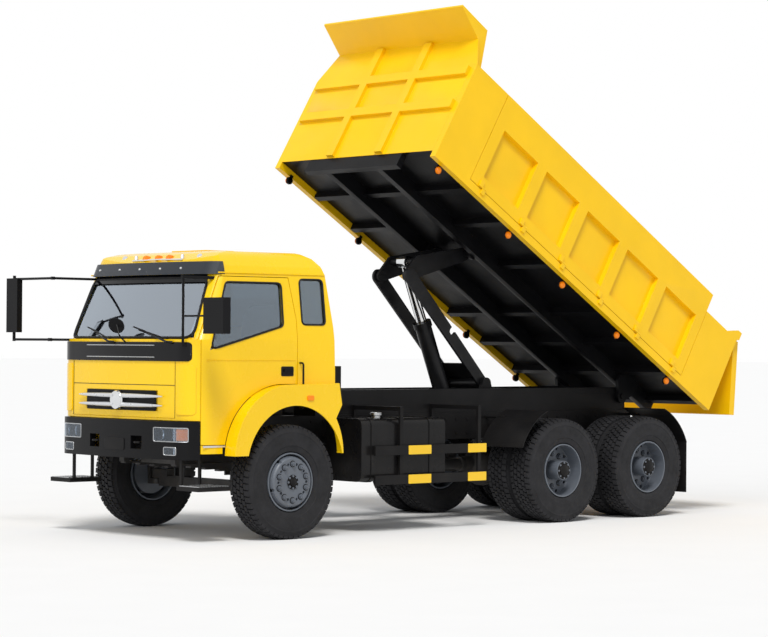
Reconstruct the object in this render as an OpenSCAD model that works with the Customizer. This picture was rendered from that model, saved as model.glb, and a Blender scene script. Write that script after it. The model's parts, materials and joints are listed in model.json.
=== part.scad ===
// Three-axle tipping dump truck, bed raised and tailgate hanging.
// Millimetres. +X is forward, +Y is the truck's left, +Z is up, the ground is z = 0.
// Inside the modules x = 0 is the front axle; placed() moves that frame to the origin,
// which is the middle of the whole truck's box, on the ground.
// Bed pieces are drawn in the bed's own frame: s runs forward along the floor from the
// rear hinge (x), n is square to the floor (z). bed_frame() lifts that frame to its tip angle.

/* [Chassis] */
// Front axle to the first rear axle
wheelbase = 3625; // [3400:25:4200]
// First rear axle to the second
bogie_spacing = 1300; // [1250:10:1400]
// Height of the chassis rails' top face
rail_top = 1110; // [1080:5:1140]
// Depth of a chassis rail
rail_depth = 270; // [200:5:290]
// Width of a chassis rail's flange
rail_flange = 80; // [60:5:90]
// Plate thickness of a chassis rail
rail_plate = 8; // [6:1:12]
// Distance across the two chassis rails, outside
rail_span = 850; // [820:5:870]

/* [Wheels] */
// Outside diameter of a tyre
tyre_diameter = 1055; // [1000:5:1080]
// Section width of a tyre
tyre_width = 278; // [250:2:285]
// Diameter of the rim flange
rim_diameter = 590; // [560:5:620]
// Distance between the middles of the two front tyres
front_track = 2070; // [2020:10:2080]
// Distance between the middles of the outer rear tyres
rear_track_outer = 2108; // [2080:4:2120]
// Distance between the middles of twin tyres
twin_spacing = 320; // [310:2:340]
// Pitch circle diameter of the wheel nuts
stud_circle = 335; // [285:5:335]

/* [Cab] */
// Overall width of the cab at its back wall, below the belt line
cab_width = 2240; // [2200:10:2300]
// Forward reach of the cab's face from the front axle
cab_front = 1095; // [1070:5:1110]
// Rearward reach of the cab's back wall from the front axle
cab_rear = 568; // [550:1:600]
// Angle by which each side of the cab closes towards its nose
side_taper = 3.3; // [2:0.1:4]
// Radius of the cab's front corners, seen from above
corner_r = 230; // [180:5:260]
// Height of the top of the roof
cab_top = 2650; // [2600:10:2750]
// Height of the underside of the cab's sills
cab_sill = 800; // [780:5:820]
// Thickness of the cab's walls and doors
cab_wall = 45; // [35:1:55]
// Gap around a door
door_gap = 6; // [5:1:8]

/* [Bed] */
// Length of the bed's floor
bed_length = 4820; // [4500:10:5000]
// Width of the bed
bed_width = 2400; // [2320:10:2440]
// Height of the bed's side walls, from the bottom of the skirt
bed_height = 1096; // [1000:4:1200]
// Thickness of the bed's side walls
bed_wall = 70; // [50:2:90]
// Tip angle that the bed stands at
bed_tip = 31.4; // [25:0.1:38]
// Overhang of the bed behind its hinge
bed_overhang = 567; // [500:1:600]
// Height of the bed's hinge
hinge_height = 1250; // [1240:1:1270]
// Distance of the bed's hinge behind the second rear axle
hinge_setback = 375; // [340:5:420]

/* [Hoist] */
// Length of the hoist's pull arm between its pivots
arm_length = 1513; // [1480:1:1540]
// Outside diameter of the hoist cylinder's barrel
barrel_diameter = 170; // [150:2:180]
// Diameter of the hoist cylinder's rod
rod_diameter = 110; // [90:2:125]
// Diameter of the hoist's pins
hoist_pin = 50; // [40:2:60]

/* [Hidden] */
$fn = 48;
// Names of the sub-parts, one node each

// Clearances
running_gap = 0.3;
part_gap = 6;
eps = 1;

// Axles
tyre_r = tyre_diameter / 2;
axle_z = tyre_r;
rear1_x = -wheelbase;
rear2_x = -wheelbase - bogie_spacing;
front_tyre_y = front_track / 2;
outer_tyre_y = rear_track_outer / 2;
inner_tyre_y = outer_tyre_y - twin_spacing;
rail_y = rail_span / 2;
rail_bottom = rail_top - rail_depth;

// Colours
yellow = "#f3c60a";
black = "#1c1c1f";
dark_steel = "#2b2c30";
wheel_grey = "#7d8590";
rim_grey = "#4a4f57";
rubber = "#232427";
plastic_grey = "#4a5058";
seat_grey = "#5b6068";
glass_tint = "#9fb3bd";
silver = "#c5c9cc";
amber = "#f08a12";

// Cab
cab_half = cab_width / 2;
gutter_z = 2440;
belt_z = 1830;
tumblehome = 75;
roof_shoulder = 230;
face_bow = 45;
windscreen_bow = 60;
face_steps = 8;
windscreen_foot_x = cab_front - 30;
windscreen_head_x = cab_front - 295;
windscreen_rake = atan((windscreen_foot_x - windscreen_head_x) / (gutter_z - belt_z));
// Half width of the cab where its front corners start to turn
nose_half = cab_half - tan(side_taper) * (cab_rear + cab_front - face_bow - corner_r);
visor_z = 2425;
door_front_x = cab_front - 155;
door_rear_x = -130;
door_bottom_z = cab_sill + 75;
cab_floor_z = 1310;
wheelhouse_x = 715;

grille_half = cab_half - 340;
grille_z0 = cab_sill + 316;
grille_z1 = belt_z - 26;
grille_depth = 24;

// Fender flare over the front wheel
flare_y = cab_half + 80;
flare_wall = 14;
arch_x = -30;
arch_z = axle_z + 122;
arch_r = tyre_r + 52;
flare_x = 40;
flare_z = axle_z + 243;
flare_r = 650;
flare_top = flare_z + flare_r;
flare_rear = -cab_rear + 13;

// Bed, in its own frame
hinge_x = rear2_x - hinge_setback;
skirt_n = 183;
floor_n = 262;
floor_plate = 8;
wall_plate = 5;
wall_rib = 42;
wall_rib_width = 100;
wall_rib_y = 360;
beam_n = 112;
beam_y = rail_y - 5;
beam_width = 76;
bed_half = bed_width / 2;
bed_front_s = bed_length - bed_overhang;
bed_rear_s = -bed_overhang;
bed_top_n = skirt_n + bed_height;
post_front_s = bed_front_s - 512;
post_rear_s = 20;
rear_post_n = bed_top_n - 204;
gate_bottom_n = floor_n + part_gap;
gate_top_n = bed_top_n - 80;
gate_hinge_n = gate_bottom_n + 12;
canopy_crease_n = bed_top_n + 332;
canopy_top_n = canopy_crease_n + 145;
canopy_tip_s = bed_front_s + 348;
canopy_half = bed_half - 165;
ear_s = bed_rear_s - 14;
ear_n = rear_post_n + 62;

// Hoist pivots, found from where the pieces lie with the bed at its tip angle
subframe_top = 1350;
subframe_front_x = -1150;
tri_pivot_s = 2610;
tri_pivot_n = 150;
arm_pivot = [-3394, 1400];
cyl_pivot = [-3110, 1130];
arm_angle = 46.3;
tri_r = 837;
tri_angle = -48.2;
eye_r = 666;
eye_angle = -39.7;
pin_r = hoist_pin / 2;
boss_r = pin_r + 25;
tri_y = 180;
tri_plate = 30;
arm_y = tri_y + tri_plate + 12;
arm_plate = 30;
barrel_length = 975;
rod_length = 950;

// World places of bed points, for the hoist's linkage
function bed_point(s, n) = [
    hinge_x + s * cos(bed_tip) - n * sin(bed_tip),
    hinge_height + s * sin(bed_tip) + n * cos(bed_tip)
];
tri_pivot = bed_point(tri_pivot_s, tri_pivot_n);
eye_point = bed_point(tri_pivot_s + eye_r * cos(eye_angle), tri_pivot_n + eye_r * sin(eye_angle));
cyl_dx = eye_point[0] - cyl_pivot[0];
cyl_dz = eye_point[1] - cyl_pivot[1];
cyl_span = sqrt(cyl_dx * cyl_dx + cyl_dz * cyl_dz);
cyl_angle = atan2(cyl_dz, cyl_dx);

// Overall box and the shift that puts its middle at the origin
mirror_reach = 190;
mirror_front = cab_front + mirror_reach;
tail_thickness = 75;
tail_face = 5;
tail_height = ear_n - floor_n - 10;
// It hangs with its own middle under its hinge
tail_hang = atan((tail_thickness - tail_face) / 2 / (tail_height / 2));
tail_hinge = bed_point(ear_s, ear_n);
tail_rear = tail_hinge[0] - tail_thickness * cos(tail_hang);
origin_x = -(mirror_front + tail_rear) / 2;

module placed() {
    translate([origin_x, 0, 0]) children();
}

module bed_frame() {
    placed() translate([hinge_x, 0, hinge_height]) rotate([0, -bed_tip, 0]) children();
}

module both_sides() {
    children();
    mirror([0, 1, 0]) children();
}

// A block between two corners
module block(x0, x1, y0, y1, z0, z1) {
    translate([x0, y0, z0]) cube([x1 - x0, y1 - y0, z1 - z0]);
}

// An x-z outline carried from y0 to y1
module slab(y0, y1) {
    translate([0, y1, 0]) rotate([90, 0, 0]) linear_extrude(y1 - y0) children();
}

// A round bar along y, centred on x and z
module bar_y(x, z, r, y0, y1) {
    translate([x, y1, z]) rotate([90, 0, 0]) cylinder(r = r, h = y1 - y0);
}

// A round bar along x
module bar_x(x0, x1, y, z, r) {
    translate([x0, y, z]) rotate([0, 90, 0]) cylinder(r = r, h = x1 - x0);
}

// A flat rectangle with round corners
module round_rect(x0, z0, x1, z1, r) {
    translate([x0 + r, z0]) square([x1 - x0 - 2 * r, z1 - z0]);
    translate([x0, z0 + r]) square([x1 - x0, z1 - z0 - 2 * r]);
    for (x = [x0 + r, x1 - r], z = [z0 + r, z1 - r]) translate([x, z]) circle(r = r);
}

// A flat bar with round ends between two points
module link_outline(a, b, ra, rb) {
    d = sqrt((b[0] - a[0]) * (b[0] - a[0]) + (b[1] - a[1]) * (b[1] - a[1]));
    translate(a) rotate(atan2(b[1] - a[1], b[0] - a[0])) {
        circle(r = ra);
        translate([d, 0]) circle(r = rb);
        polygon([[0, -ra], [d, -rb], [d, rb], [0, ra]]);
    }
}

// ---------------------------------------------------------------- chassis

module rail() {
    difference() {
        block(rail_rear_x, cab_front - 130, rail_y - rail_flange, rail_y, rail_bottom, rail_top);
        block(rail_rear_x - eps, cab_front - 130 + eps, rail_y - rail_flange - eps, rail_y - rail_plate,
              rail_bottom + rail_plate, rail_top - rail_plate);
    }
}

crossmember_xs = [cab_front - 200, -1330, -2400, -3300, rear1_x - bogie_spacing / 2];
rail_rear_x = rear2_x - 560;
// Bolt pattern of a drawbar coupling on the rear plate
coupling_y = 160;
coupling_z = 100;
coupling_hole_r = 10.5;
coupling_height = rail_bottom + 135;

module chassis_frame() {
    color(black) placed() {
        both_sides() rail();
        for (x = crossmember_xs)
            block(x - 40, x + 40, -rail_y + rail_plate, rail_y - rail_plate, rail_bottom + 25, rail_bottom + 145);
        difference() {
            block(rail_rear_x, rail_rear_x + 14, -rail_y + rail_plate, rail_y - rail_plate,
                  rail_bottom + rail_plate, rail_top - rail_plate);
            for (y = [-coupling_y / 2, coupling_y / 2], z = [-coupling_z / 2, coupling_z / 2])
                bar_x(rail_rear_x - eps, rail_rear_x + 20, y, coupling_height + z, coupling_hole_r);
        }
    }
}

module hoist_subframe() {
    color(black) placed() {
        difference() {
            union() {
                both_sides() {
                    block(hinge_x, subframe_front_x, rail_y - beam_width - 5, rail_y - 5, rail_top + eps / 2, subframe_top);
                    slab(rail_y - beam_width - 5, rail_y - 5) hinge_plate_outline();
                    slab(arm_y + arm_plate + 8, arm_y + arm_plate + 48) pivot_plate_outline(arm_pivot);
                    slab(barrel_diameter / 2 + 12, barrel_diameter / 2 + 42) cyl_plate_outline();
                }
                bar_y(hinge_x, hinge_height, 30, -rail_y - 60, rail_y + 60);
                bar_y(arm_pivot[0], arm_pivot[1], pin_r, -arm_y - arm_plate - 48, arm_y + arm_plate + 48);
                bar_y(cyl_pivot[0], cyl_pivot[1], pin_r, -barrel_diameter / 2 - 40, barrel_diameter / 2 + 40);
                for (x = [subframe_front_x - 60, -2080])
                    block(x - 40, x + 40, -rail_y + 20, rail_y - 20, rail_top + 5, rail_top + 95);
                block(cyl_pivot[0] - 175, cyl_pivot[0] - 112, -rail_y + 20, rail_y - 20, rail_top - 90, rail_top + 100);
                block(arm_pivot[0] - 140, arm_pivot[0] - 60, -rail_y + 20, rail_y - 20, rail_top + 5, rail_top + 125);
                block(hinge_x + 160, hinge_x + 240, -rail_y + 20, rail_y - 20, rail_top + 5, rail_top + 165);
            }
            both_sides() block(rear2_x - 700, cab_front, rail_y - rail_flange - 2, rail_y + 100,
                               rail_top - 200, rail_top + eps / 2);
        }
    }
}

module hinge_plate_outline() {
    translate([hinge_x, hinge_height]) circle(r = 92);
    translate([hinge_x - 92, rail_top + eps / 2]) square([92, hinge_height - rail_top]);
}

module pivot_plate_outline(p) {
    translate(p) circle(r = 62);
    polygon([[p[0] - 62, p[1]], [p[0] - 150, rail_top + 10], [p[0] + 150, rail_top + 10], [p[0] + 62, p[1]]]);
}

module cyl_plate_outline() {
    translate(cyl_pivot) circle(r = 58);
    polygon([[cyl_pivot[0], cyl_pivot[1] - 58], [cyl_pivot[0] - 120, rail_top - 90], [cyl_pivot[0] - 120, rail_top + 100],
             [cyl_pivot[0], cyl_pivot[1] + 58]]);
}

// ---------------------------------------------------------------- axles and wheels

kingpin_y = front_tyre_y - 175;
kingpin_r = 22;

module front_axle() {
    color(dark_steel) placed() {
        difference() {
            union() {
                block(-45, 45, -kingpin_y + 130, kingpin_y - 130, axle_z - 120, axle_z - 20);
                both_sides() {
                    block(-45, 45, kingpin_y - 220, kingpin_y - 90, axle_z - 120, axle_z + 40);
                    translate([0, kingpin_y, axle_z - 45]) cylinder(r = 48, h = 90);
                    block(-45, 45, kingpin_y - 110, kingpin_y, axle_z - 45, axle_z + 40);
                }
            }
            both_sides() translate([0, kingpin_y, axle_z - 200]) cylinder(r = kingpin_r + running_gap, h = 400);
        }
    }
}

// Knuckle of the left wheel: yoke, kingpin, spindle and steering arm
module knuckle() {
    placed() {
        translate([0, kingpin_y, axle_z - 105]) cylinder(r = kingpin_r, h = 210);
        for (z = [axle_z - 105, axle_z + 55])
            translate([0, kingpin_y, z]) cylinder(r = 48, h = 50);
        block(-48, 48, kingpin_y + 55, kingpin_y + 85, axle_z - 105, axle_z + 105);
        for (z = [axle_z - 105, axle_z + 55])
            block(-48, 48, kingpin_y, kingpin_y + 85, z, z + 50);
        bar_y(0, axle_z, 40, kingpin_y + 80, front_tyre_y + 110);
        block(-250, -20, kingpin_y - 25, kingpin_y + 15, axle_z - 100, axle_z - 70);
    }
}

module left_knuckle() {
    color(dark_steel) knuckle();
}

module right_knuckle() {
    color(dark_steel) mirror([0, 1, 0]) knuckle();
}

module rear_axle(x) {
    bar_y(x, axle_z, 75, -inner_tyre_y + 130, inner_tyre_y - 130);
    bar_y(x, axle_z, 48, -outer_tyre_y - 60, outer_tyre_y + 60);
    translate([x, 0, axle_z]) sphere(r = 205);
    bar_x(x, x + 290, 0, axle_z + 30, 80);
}

module rear_axles() {
    color(dark_steel) placed() {
        rear_axle(rear1_x);
        rear_axle(rear2_x);
    }
}

spring_y = rail_y - 35;
rear_spring_y = rail_y + 62;

module front_spring() {
    block(-60, 60, spring_y - 42, spring_y + 42, axle_z - 20 + eps / 2, axle_z + 75);
    for (i = [0:3])
        block(-760 + i * 170, 760 - i * 170, spring_y - 38, spring_y + 38, axle_z + 135 - i * 20, axle_z + 155 - i * 20);
    for (x = [-745, 745])
        block(x - 30, x + 30, spring_y - 38, spring_y + 38, axle_z + 150, rail_bottom - eps / 2);
}

module rear_spring() {
    mid_x = rear1_x - bogie_spacing / 2;
    for (i = [0:4])
        block(mid_x - bogie_spacing / 2 - 60 + i * 120, mid_x + bogie_spacing / 2 + 60 - i * 120,
              rear_spring_y - 45, rear_spring_y + 45, axle_z + 110 + i * 24, axle_z + 134 + i * 24);
    block(mid_x - 90, mid_x + 90, rear_spring_y - 55, rear_spring_y + 55, axle_z - 20, axle_z + 111);
    bar_y(mid_x, axle_z - 60, 50, -rear_spring_y, rear_spring_y);
    block(mid_x - 130, mid_x + 130, rail_y - 60, rail_y - 20, axle_z - 100, rail_bottom - eps / 2);
    for (x = [rear1_x, rear2_x])
        block(x - 50, x + 50, rear_spring_y - 45, rear_spring_y + 45, axle_z + 75 + running_gap, axle_z + 111);
}

module leaf_springs() {
    color(dark_steel) placed() both_sides() {
        front_spring();
        rear_spring();
    }
}

module propeller_shafts() {
    color(dark_steel) placed() {
        bar_x(rear1_x + 290, -1250, 0, axle_z + 30, 55);
        bar_x(rear2_x + 290, rear1_x - 206, 0, axle_z + 40, 45);
        bar_x(rear1_x + 290, rear1_x + 340, 0, axle_z + 30, 78);
        block(-1290, -1250, -90, 90, axle_z - 70, axle_z + 130);
    }
}

module engine_block() {
    color(dark_steel) placed() {
        block(-620, 620, -300, 300, rail_bottom - 170, 1240);
        bar_x(-1249, -619, 0, axle_z + 330, 190);
        block(-1249, -900, -170, 170, axle_z - 60, axle_z + 330);
        both_sides() for (x = [380, -500])
            block(x, x + 80, 299, rail_y - rail_plate - running_gap, rail_bottom + rail_plate + running_gap, rail_bottom + 60);
    }
}

// Tyre of the given middle y: rounded shoulders around a hollow for its rim
module tyre(y) {
    w = tyre_width / 2;
    r = tyre_r;
    b = rim_diameter / 2 - 25;
    translate([0, y, axle_z]) rotate([90, 0, 0]) rotate_extrude($fn = 96)
        polygon([[b, -w + 35], [b + 60, -w + 8], [b + 130, -w], [r - 65, -w + 8], [r - 18, -w + 26],
                 [r, -w + 52], [r, w - 52], [r - 18, w - 26], [r - 65, w - 8], [b + 130, w],
                 [b + 60, w - 8], [b, w - 35]]);
}

// Rim as a turned ring, outside face towards +y
module rim(y) {
    b = rim_diameter / 2 - 25 - running_gap;
    w = tyre_width / 2 - 30;
    translate([0, y, axle_z]) rotate([-90, 0, 0]) rotate_extrude($fn = 96)
        polygon([[b - 14, -w - 12], [b, -w - 12], [b, w + 12], [b - 14, w + 12]]);
}

// Disc of the front wheel: it bulges out past the tyre
module front_disc() {
    translate([0, front_tyre_y, axle_z]) rotate([-90, 0, 0]) difference() {
        rotate_extrude($fn = 96)
            polygon([[70, 148], [215, 148], [228, 138], [252, 60], [262, 20], [252, 20], [236, 70], [212, 128],
                     [70, 128]]);
        for (a = [0:36:324])
            rotate(a) translate([stud_circle / 2, 0, 100]) cylinder(r = 13, h = 100, $fn = 16);
        for (a = [18:72:306])
            rotate(a) translate([243, 0, 0]) cylinder(r = 22, h = 150, $fn = 16);
    }
}

module front_hub() {
    difference() {
        union() {
            bar_y(0, axle_z, 71, front_tyre_y + 10, front_tyre_y + 152);
            bar_y(0, axle_z, 120, front_tyre_y - 40, front_tyre_y + 128);
            bar_y(0, axle_z, 200, front_tyre_y + 108, front_tyre_y + 128);
            bar_y(0, axle_z, 205, front_tyre_y - 84, front_tyre_y + 30);
        }
        bar_y(0, axle_z, 40 + running_gap, front_tyre_y - 100, front_tyre_y + 111);
    }
}

module front_wheel() {
    placed() {
        rim(front_tyre_y);
        front_disc();
        front_hub();
    }
}

module rear_wheel(x) {
    placed() translate([x, 0, 0]) {
        rim(outer_tyre_y);
        rim(inner_tyre_y);
        difference() {
            union() {
                bar_y(0, axle_z, 260, outer_tyre_y - 60, outer_tyre_y - 40);
                bar_y(0, axle_z, 258, inner_tyre_y + 40, inner_tyre_y + 60);
                bar_y(0, axle_z, 200, inner_tyre_y - 100, outer_tyre_y - 40);
                bar_y(0, axle_z, 98, outer_tyre_y - 45, outer_tyre_y + 128);
            }
            bar_y(0, axle_z, 48 + running_gap, inner_tyre_y - 200, outer_tyre_y + 62);
            bar_y(0, axle_z, 76, inner_tyre_y - 200, inner_tyre_y - 60);
            for (a = [0:36:324])
                translate([0, 0, axle_z]) rotate([-90, 0, 0]) rotate(a)
                    translate([228, 0, inner_tyre_y]) cylinder(r = 18, h = 400, $fn = 16);
        }
    }
}

module front_left_tyre() {
    color(rubber) placed() tyre(front_tyre_y);
}
module front_right_tyre() {
    color(rubber) placed() tyre(-front_tyre_y);
}
module front_left_wheel() {
    color(wheel_grey) front_wheel();
}
module front_right_wheel() {
    color(wheel_grey) mirror([0, 1, 0]) front_wheel();
}

module twin_tyres(x, side) {
    color(rubber) placed() translate([x, 0, 0]) for (y = [inner_tyre_y, outer_tyre_y]) tyre(side * y);
}

// ---------------------------------------------------------------- cab

// Side view of the cab, drawn in by the inset; the nose closes it in front
module cab_profile(inset) {
    front = cab_front + 80;
    polygon([
        [-cab_rear + inset, cab_floor_z + inset],
        [wheelhouse_x + inset, cab_floor_z + inset],
        [wheelhouse_x + inset, cab_sill + inset],
        [front, cab_sill + inset],
        [front, gutter_z + 10 - inset],
        [windscreen_head_x - 60 - inset, cab_top - 100 - inset],
        [windscreen_head_x - 170 - inset, cab_top - 35 - inset],
        [windscreen_head_x - 330 - inset, cab_top - inset],
        [-cab_rear + 340 + inset, cab_top - inset],
        [-cab_rear + 240 + inset, cab_top - 18 - inset],
        [-cab_rear + 155 + inset, cab_top - 62 - inset],
        [-cab_rear + 95 + inset, cab_top - 130 - inset],
        [-cab_rear + 68 + inset, gutter_z],
        [-cab_rear + 12 + inset, belt_z + 120],
        [-cab_rear + inset, belt_z - 300]
    ]);
}

// Half of the front view, from the side's foot up over the roof's shoulder
module side_outline(inset) {
    polygon([
        [-3000, 0], [-inset, 0], [-inset, belt_z], [-tumblehome - inset, gutter_z],
        [-tumblehome - 22 - inset, gutter_z + 65 - inset / 2], [-tumblehome - 85 - inset, cab_top - 55 - inset],
        [-roof_shoulder - inset, cab_top - 8 - inset], [-roof_shoulder - 500, cab_top + 14 - inset],
        [-3000, cab_top + 14 - inset]]);
}

// Everything inboard of the left side, which closes in towards the nose
module side_prism(inset) {
    translate([-cab_rear, cab_half, 0]) rotate([0, 0, -side_taper]) rotate([90, 0, 90])
        translate([0, 0, -500]) linear_extrude(3000) side_outline(inset);
}

// Plan of a nose: a face bowed back towards round corners
module nose_plan(front, half, bow, radius, inset) {
    face_half = half - radius;
    corner_x = front - bow - radius;
    r = radius - inset;
    polygon([
        [-2000, -half - 300],
        for (i = [0:face_steps]) let (a = -90 + 90 * i / face_steps)
            [corner_x + r * cos(a), -face_half + r * sin(a)],
        for (i = [1:2 * face_steps - 1]) let (t = i / face_steps - 1)
            [front - inset - bow * t * t, face_half * t],
        for (i = [0:face_steps]) let (a = 90 * i / face_steps)
            [corner_x + r * cos(a), face_half + r * sin(a)],
        [-2000, half + 300]
    ]);
}

// The nose above the belt leans back with the windscreen
module leaning_nose(ahead, half, radius, inset) {
    translate([windscreen_foot_x, 0, belt_z]) rotate([0, -windscreen_rake, 0]) translate([0, 0, -400])
        linear_extrude(1800) nose_plan(ahead, half, windscreen_bow, radius, inset);
}

module nose(inset) {
    linear_extrude(belt_z) nose_plan(cab_front, nose_half, face_bow, corner_r, inset);
    intersection() {
        translate([-3000, -2000, belt_z - eps]) cube([6000, 4000, 1500]);
        leaning_nose(0, nose_half, corner_r, inset);
    }
}

// The cab without its floor, roof and back
module cab_core(inset) {
    intersection() {
        side_prism(inset);
        mirror([0, 1, 0]) side_prism(inset);
        nose(inset);
    }
}

module cab_mass(inset) {
    intersection() {
        slab(-cab_half - 10, cab_half + 10) cab_profile(inset);
        cab_core(inset);
    }
}

module cab_shell() {
    difference() {
        cab_mass(0);
        cab_mass(cab_wall);
    }
}

// Side view of a door: straight front and back, its foot cut round the fender
module door_outline(gap) {
    difference() {
        polygon([
            [door_front_x - gap, door_bottom_z + gap],
            [door_front_x - gap, belt_z],
            [windscreen_head_x - 100 - gap, gutter_z - 30 - gap],
            [door_rear_x + 60 + gap, gutter_z - 30 - gap],
            [door_rear_x + gap, belt_z + 200],
            [door_rear_x + gap, door_bottom_z + gap]
        ]);
        translate([flare_x, flare_z]) circle(r = flare_r + gap);
        translate([-1000, 0]) square([1000 + flare_x, flare_top + gap]);
        translate([-1000, 0]) square([1000 + flare_x + flare_r + gap, flare_z + eps]);
    }
}

module door_window_outline(inset) {
    polygon([
        [door_front_x - 82 - inset, belt_z - 95 + inset],
        [windscreen_head_x - 155 - inset, gutter_z - 85 - inset],
        [door_rear_x + 150 + inset, gutter_z - 85 - inset],
        [door_rear_x + 157 + inset, belt_z + 130 + inset]
    ]);
}

module quarter_window_outline(inset) {
    round_rect(-cab_rear + 105 + inset, belt_z + 145 + inset, door_rear_x - 62 - inset, gutter_z - 45 - inset, 35);
}

toe_board_x = 925;
toe_board_half = cab_half - 190;
tunnel_half = rail_y + 10;
tunnel_top = rail_top + 15;
bumper_top = cab_sill + 292;

module door_zone(gap, y0, y1) {
    slab(y0, y1) door_outline(gap);
}

windscreen_foot_half = cab_half - 195;
windscreen_head_half = cab_half - 255;

module windscreen_opening(inset, x0, x1) {
    rotate([90, 0, 90]) translate([0, 0, x0]) linear_extrude(x1 - x0)
        polygon([
            [-windscreen_foot_half + inset, belt_z + 15 + inset], [windscreen_foot_half - inset, belt_z + 15 + inset],
            [windscreen_head_half - inset, gutter_z - 45 - inset], [-windscreen_head_half + inset, gutter_z - 45 - inset]
        ]);
}

module rear_window_opening(inset, x0, x1) {
    rotate([90, 0, 90]) translate([0, 0, x0]) linear_extrude(x1 - x0)
        round_rect(-480 + inset, belt_z + 130 + inset, 480 - inset, gutter_z - 60 - inset, 50);
}

module cab_body() {
    color(yellow) placed() difference() {
        union() {
            difference() {
                cab_shell();
                block(-1000, 1300, -1300, 1300, gutter_z + 1, 3000);
            }
            block(toe_board_x - 45, toe_board_x, -toe_board_half, toe_board_half, cab_sill, bumper_top + 50);
            block(wheelhouse_x, toe_board_x, -tunnel_half - 25, tunnel_half + 25, cab_sill, tunnel_top + 25);
        }
        both_sides() difference() {
            door_zone(0, cab_half - 250, cab_half + 100);
            cab_core(cab_wall);
        }
        // What the bumper covers, and the tunnel over the chassis rails
        block(door_front_x - door_gap, 1300, -1300, 1300, 700, bumper_top + part_gap);
        block(wheelhouse_x - 50, door_front_x, -tunnel_half, tunnel_half, 700, tunnel_top);
        both_sides() slab(cab_half - 200, cab_half + 100) quarter_window_outline(0);
        windscreen_opening(0, 700, 1300);
        rear_window_opening(0, -700, -350);
        difference() {
            block(cab_front - 90, 1300, -grille_half, grille_half, grille_z0, grille_z1);
            cab_mass(grille_depth + running_gap);
        }
    }
}

module cab_roof() {
    color(yellow) placed() {
        intersection() {
            cab_shell();
            block(-1000, 1300, -1300, 1300, gutter_z + 2, 3000);
        }
        block(-40, 300, -260, 260, cab_top - 8, cab_top + 22);
    }
}

module grille_panel() {
    color(yellow) placed() difference() {
        intersection() {
            difference() {
                cab_mass(0);
                cab_mass(grille_depth);
            }
            block(cab_front - 90, 1300, -grille_half + running_gap, grille_half - running_gap,
                  grille_z0 + running_gap, grille_z1 - running_gap);
        }
        block(cab_front - 100, 1300, -545, 545, 1180, 1362);
    }
}

module glass_pane(offset, t) {
    difference() {
        cab_mass(offset);
        cab_mass(offset + t);
    }
}

module cab_glass() {
    color(glass_tint, 0.5) placed() {
        intersection() {
            glass_pane(12, 6);
            windscreen_opening(running_gap, 750, 1300);
        }
        intersection() {
            glass_pane(12, 6);
            rear_window_opening(running_gap, -700, -350);
        }
        both_sides() intersection() {
            glass_pane(10, 6);
            slab(cab_half - 200, cab_half + 100) quarter_window_outline(running_gap);
        }
    }
}

module door() {
    difference() {
        intersection() {
            cab_core(0);
            door_zone(door_gap, cab_half - 250, cab_half + 100);
        }
        cab_core(cab_wall);
        slab(cab_half - 300, cab_half + 100) door_window_outline(0);
    }
}

module door_glass() {
    intersection() {
        glass_pane(14, 6);
        slab(cab_half - 300, cab_half + 100) door_window_outline(running_gap);
    }
}

module left_door() {
    color(yellow) placed() door();
}
module right_door() {
    color(yellow) placed() mirror([0, 1, 0]) door();
}
module left_door_glass() {
    color(glass_tint, 0.5) placed() door_glass();
}
module right_door_glass() {
    color(glass_tint, 0.5) placed() mirror([0, 1, 0]) door_glass();
}

module dashboard() {
    color(plastic_grey) placed() difference() {
        intersection() {
            slab(-cab_half + 190, cab_half - 190) polygon([
                [cab_front, belt_z - 330], [cab_front, belt_z - 15], [cab_front - 110, belt_z - 15],
                [cab_front - 330, belt_z - 60], [cab_front - 360, belt_z - 160], [cab_front - 250, belt_z - 330]]);
            cab_mass(cab_wall + running_gap);
        }
        translate(steer_centre) rotate([0, -wheel_tilt, 0]) translate([0, 0, -260]) cylinder(r = 26 + running_gap, h = 260);
    }
}

seat_x = 90;

module seat(y, w) {
    slab(y - w / 2, y + w / 2) polygon([
        [seat_x - 200, cab_floor_z + cab_wall + eps / 2], [seat_x + 240, cab_floor_z + cab_wall + eps / 2],
        [seat_x + 290, cab_floor_z + 320], [seat_x + 260, cab_floor_z + 350],
        [seat_x - 110, cab_floor_z + 300], [seat_x - 230, cab_floor_z + 860], [seat_x - 330, cab_floor_z + 850],
        [seat_x - 240, cab_floor_z + 280]]);
}

module seats() {
    color(seat_grey) placed() {
        seat(520, 500);
        seat(-440, 800);
    }
}

wheel_tilt = 32;
steer_centre = [cab_front - 490, 500, belt_z + 10];

module steering_wheel() {
    color(black) placed() {
        translate(steer_centre) rotate([0, -wheel_tilt, 0]) {
            rotate_extrude() translate([215, 0]) circle(r = 15);
            cylinder(r = 55, h = 45, center = true);
            for (a = [0, 120, 240]) rotate(a) translate([40, -14, -6]) cube([170, 28, 12]);
            translate([0, 0, -250]) cylinder(r = 26, h = 240);
        }
    }
}

visor_half = nose_half - 30;
visor_radius = 250;
visor_ahead = 55;
visor_sheet = 12;
visor_end_x = windscreen_head_x - 150;

// A sheet ahead of the windscreen's head, closed to the roof along its top edge
module sun_visor() {
    color(plastic_grey) placed() intersection() {
        difference() {
            leaning_nose(visor_ahead, visor_half, visor_radius, 0);
            intersection() {
                leaning_nose(visor_ahead, visor_half, visor_radius, visor_sheet);
                block(-2000, 2000, -2000, 2000, 0, visor_z + 118 - visor_sheet);
            }
            cab_core(-running_gap);
            cab_mass(-running_gap);
        }
        block(visor_end_x, 2000, -2000, 2000, visor_z, visor_z + 118);
    }
}

lamp_y0 = cab_half - 565;
lamp_y1 = cab_half - 168;
lamp_z0 = 905;
lamp_z1 = 1035;
fog_y0 = 690;
fog_y1 = 850;
fog_z0 = 785;
fog_z1 = 860;

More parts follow.
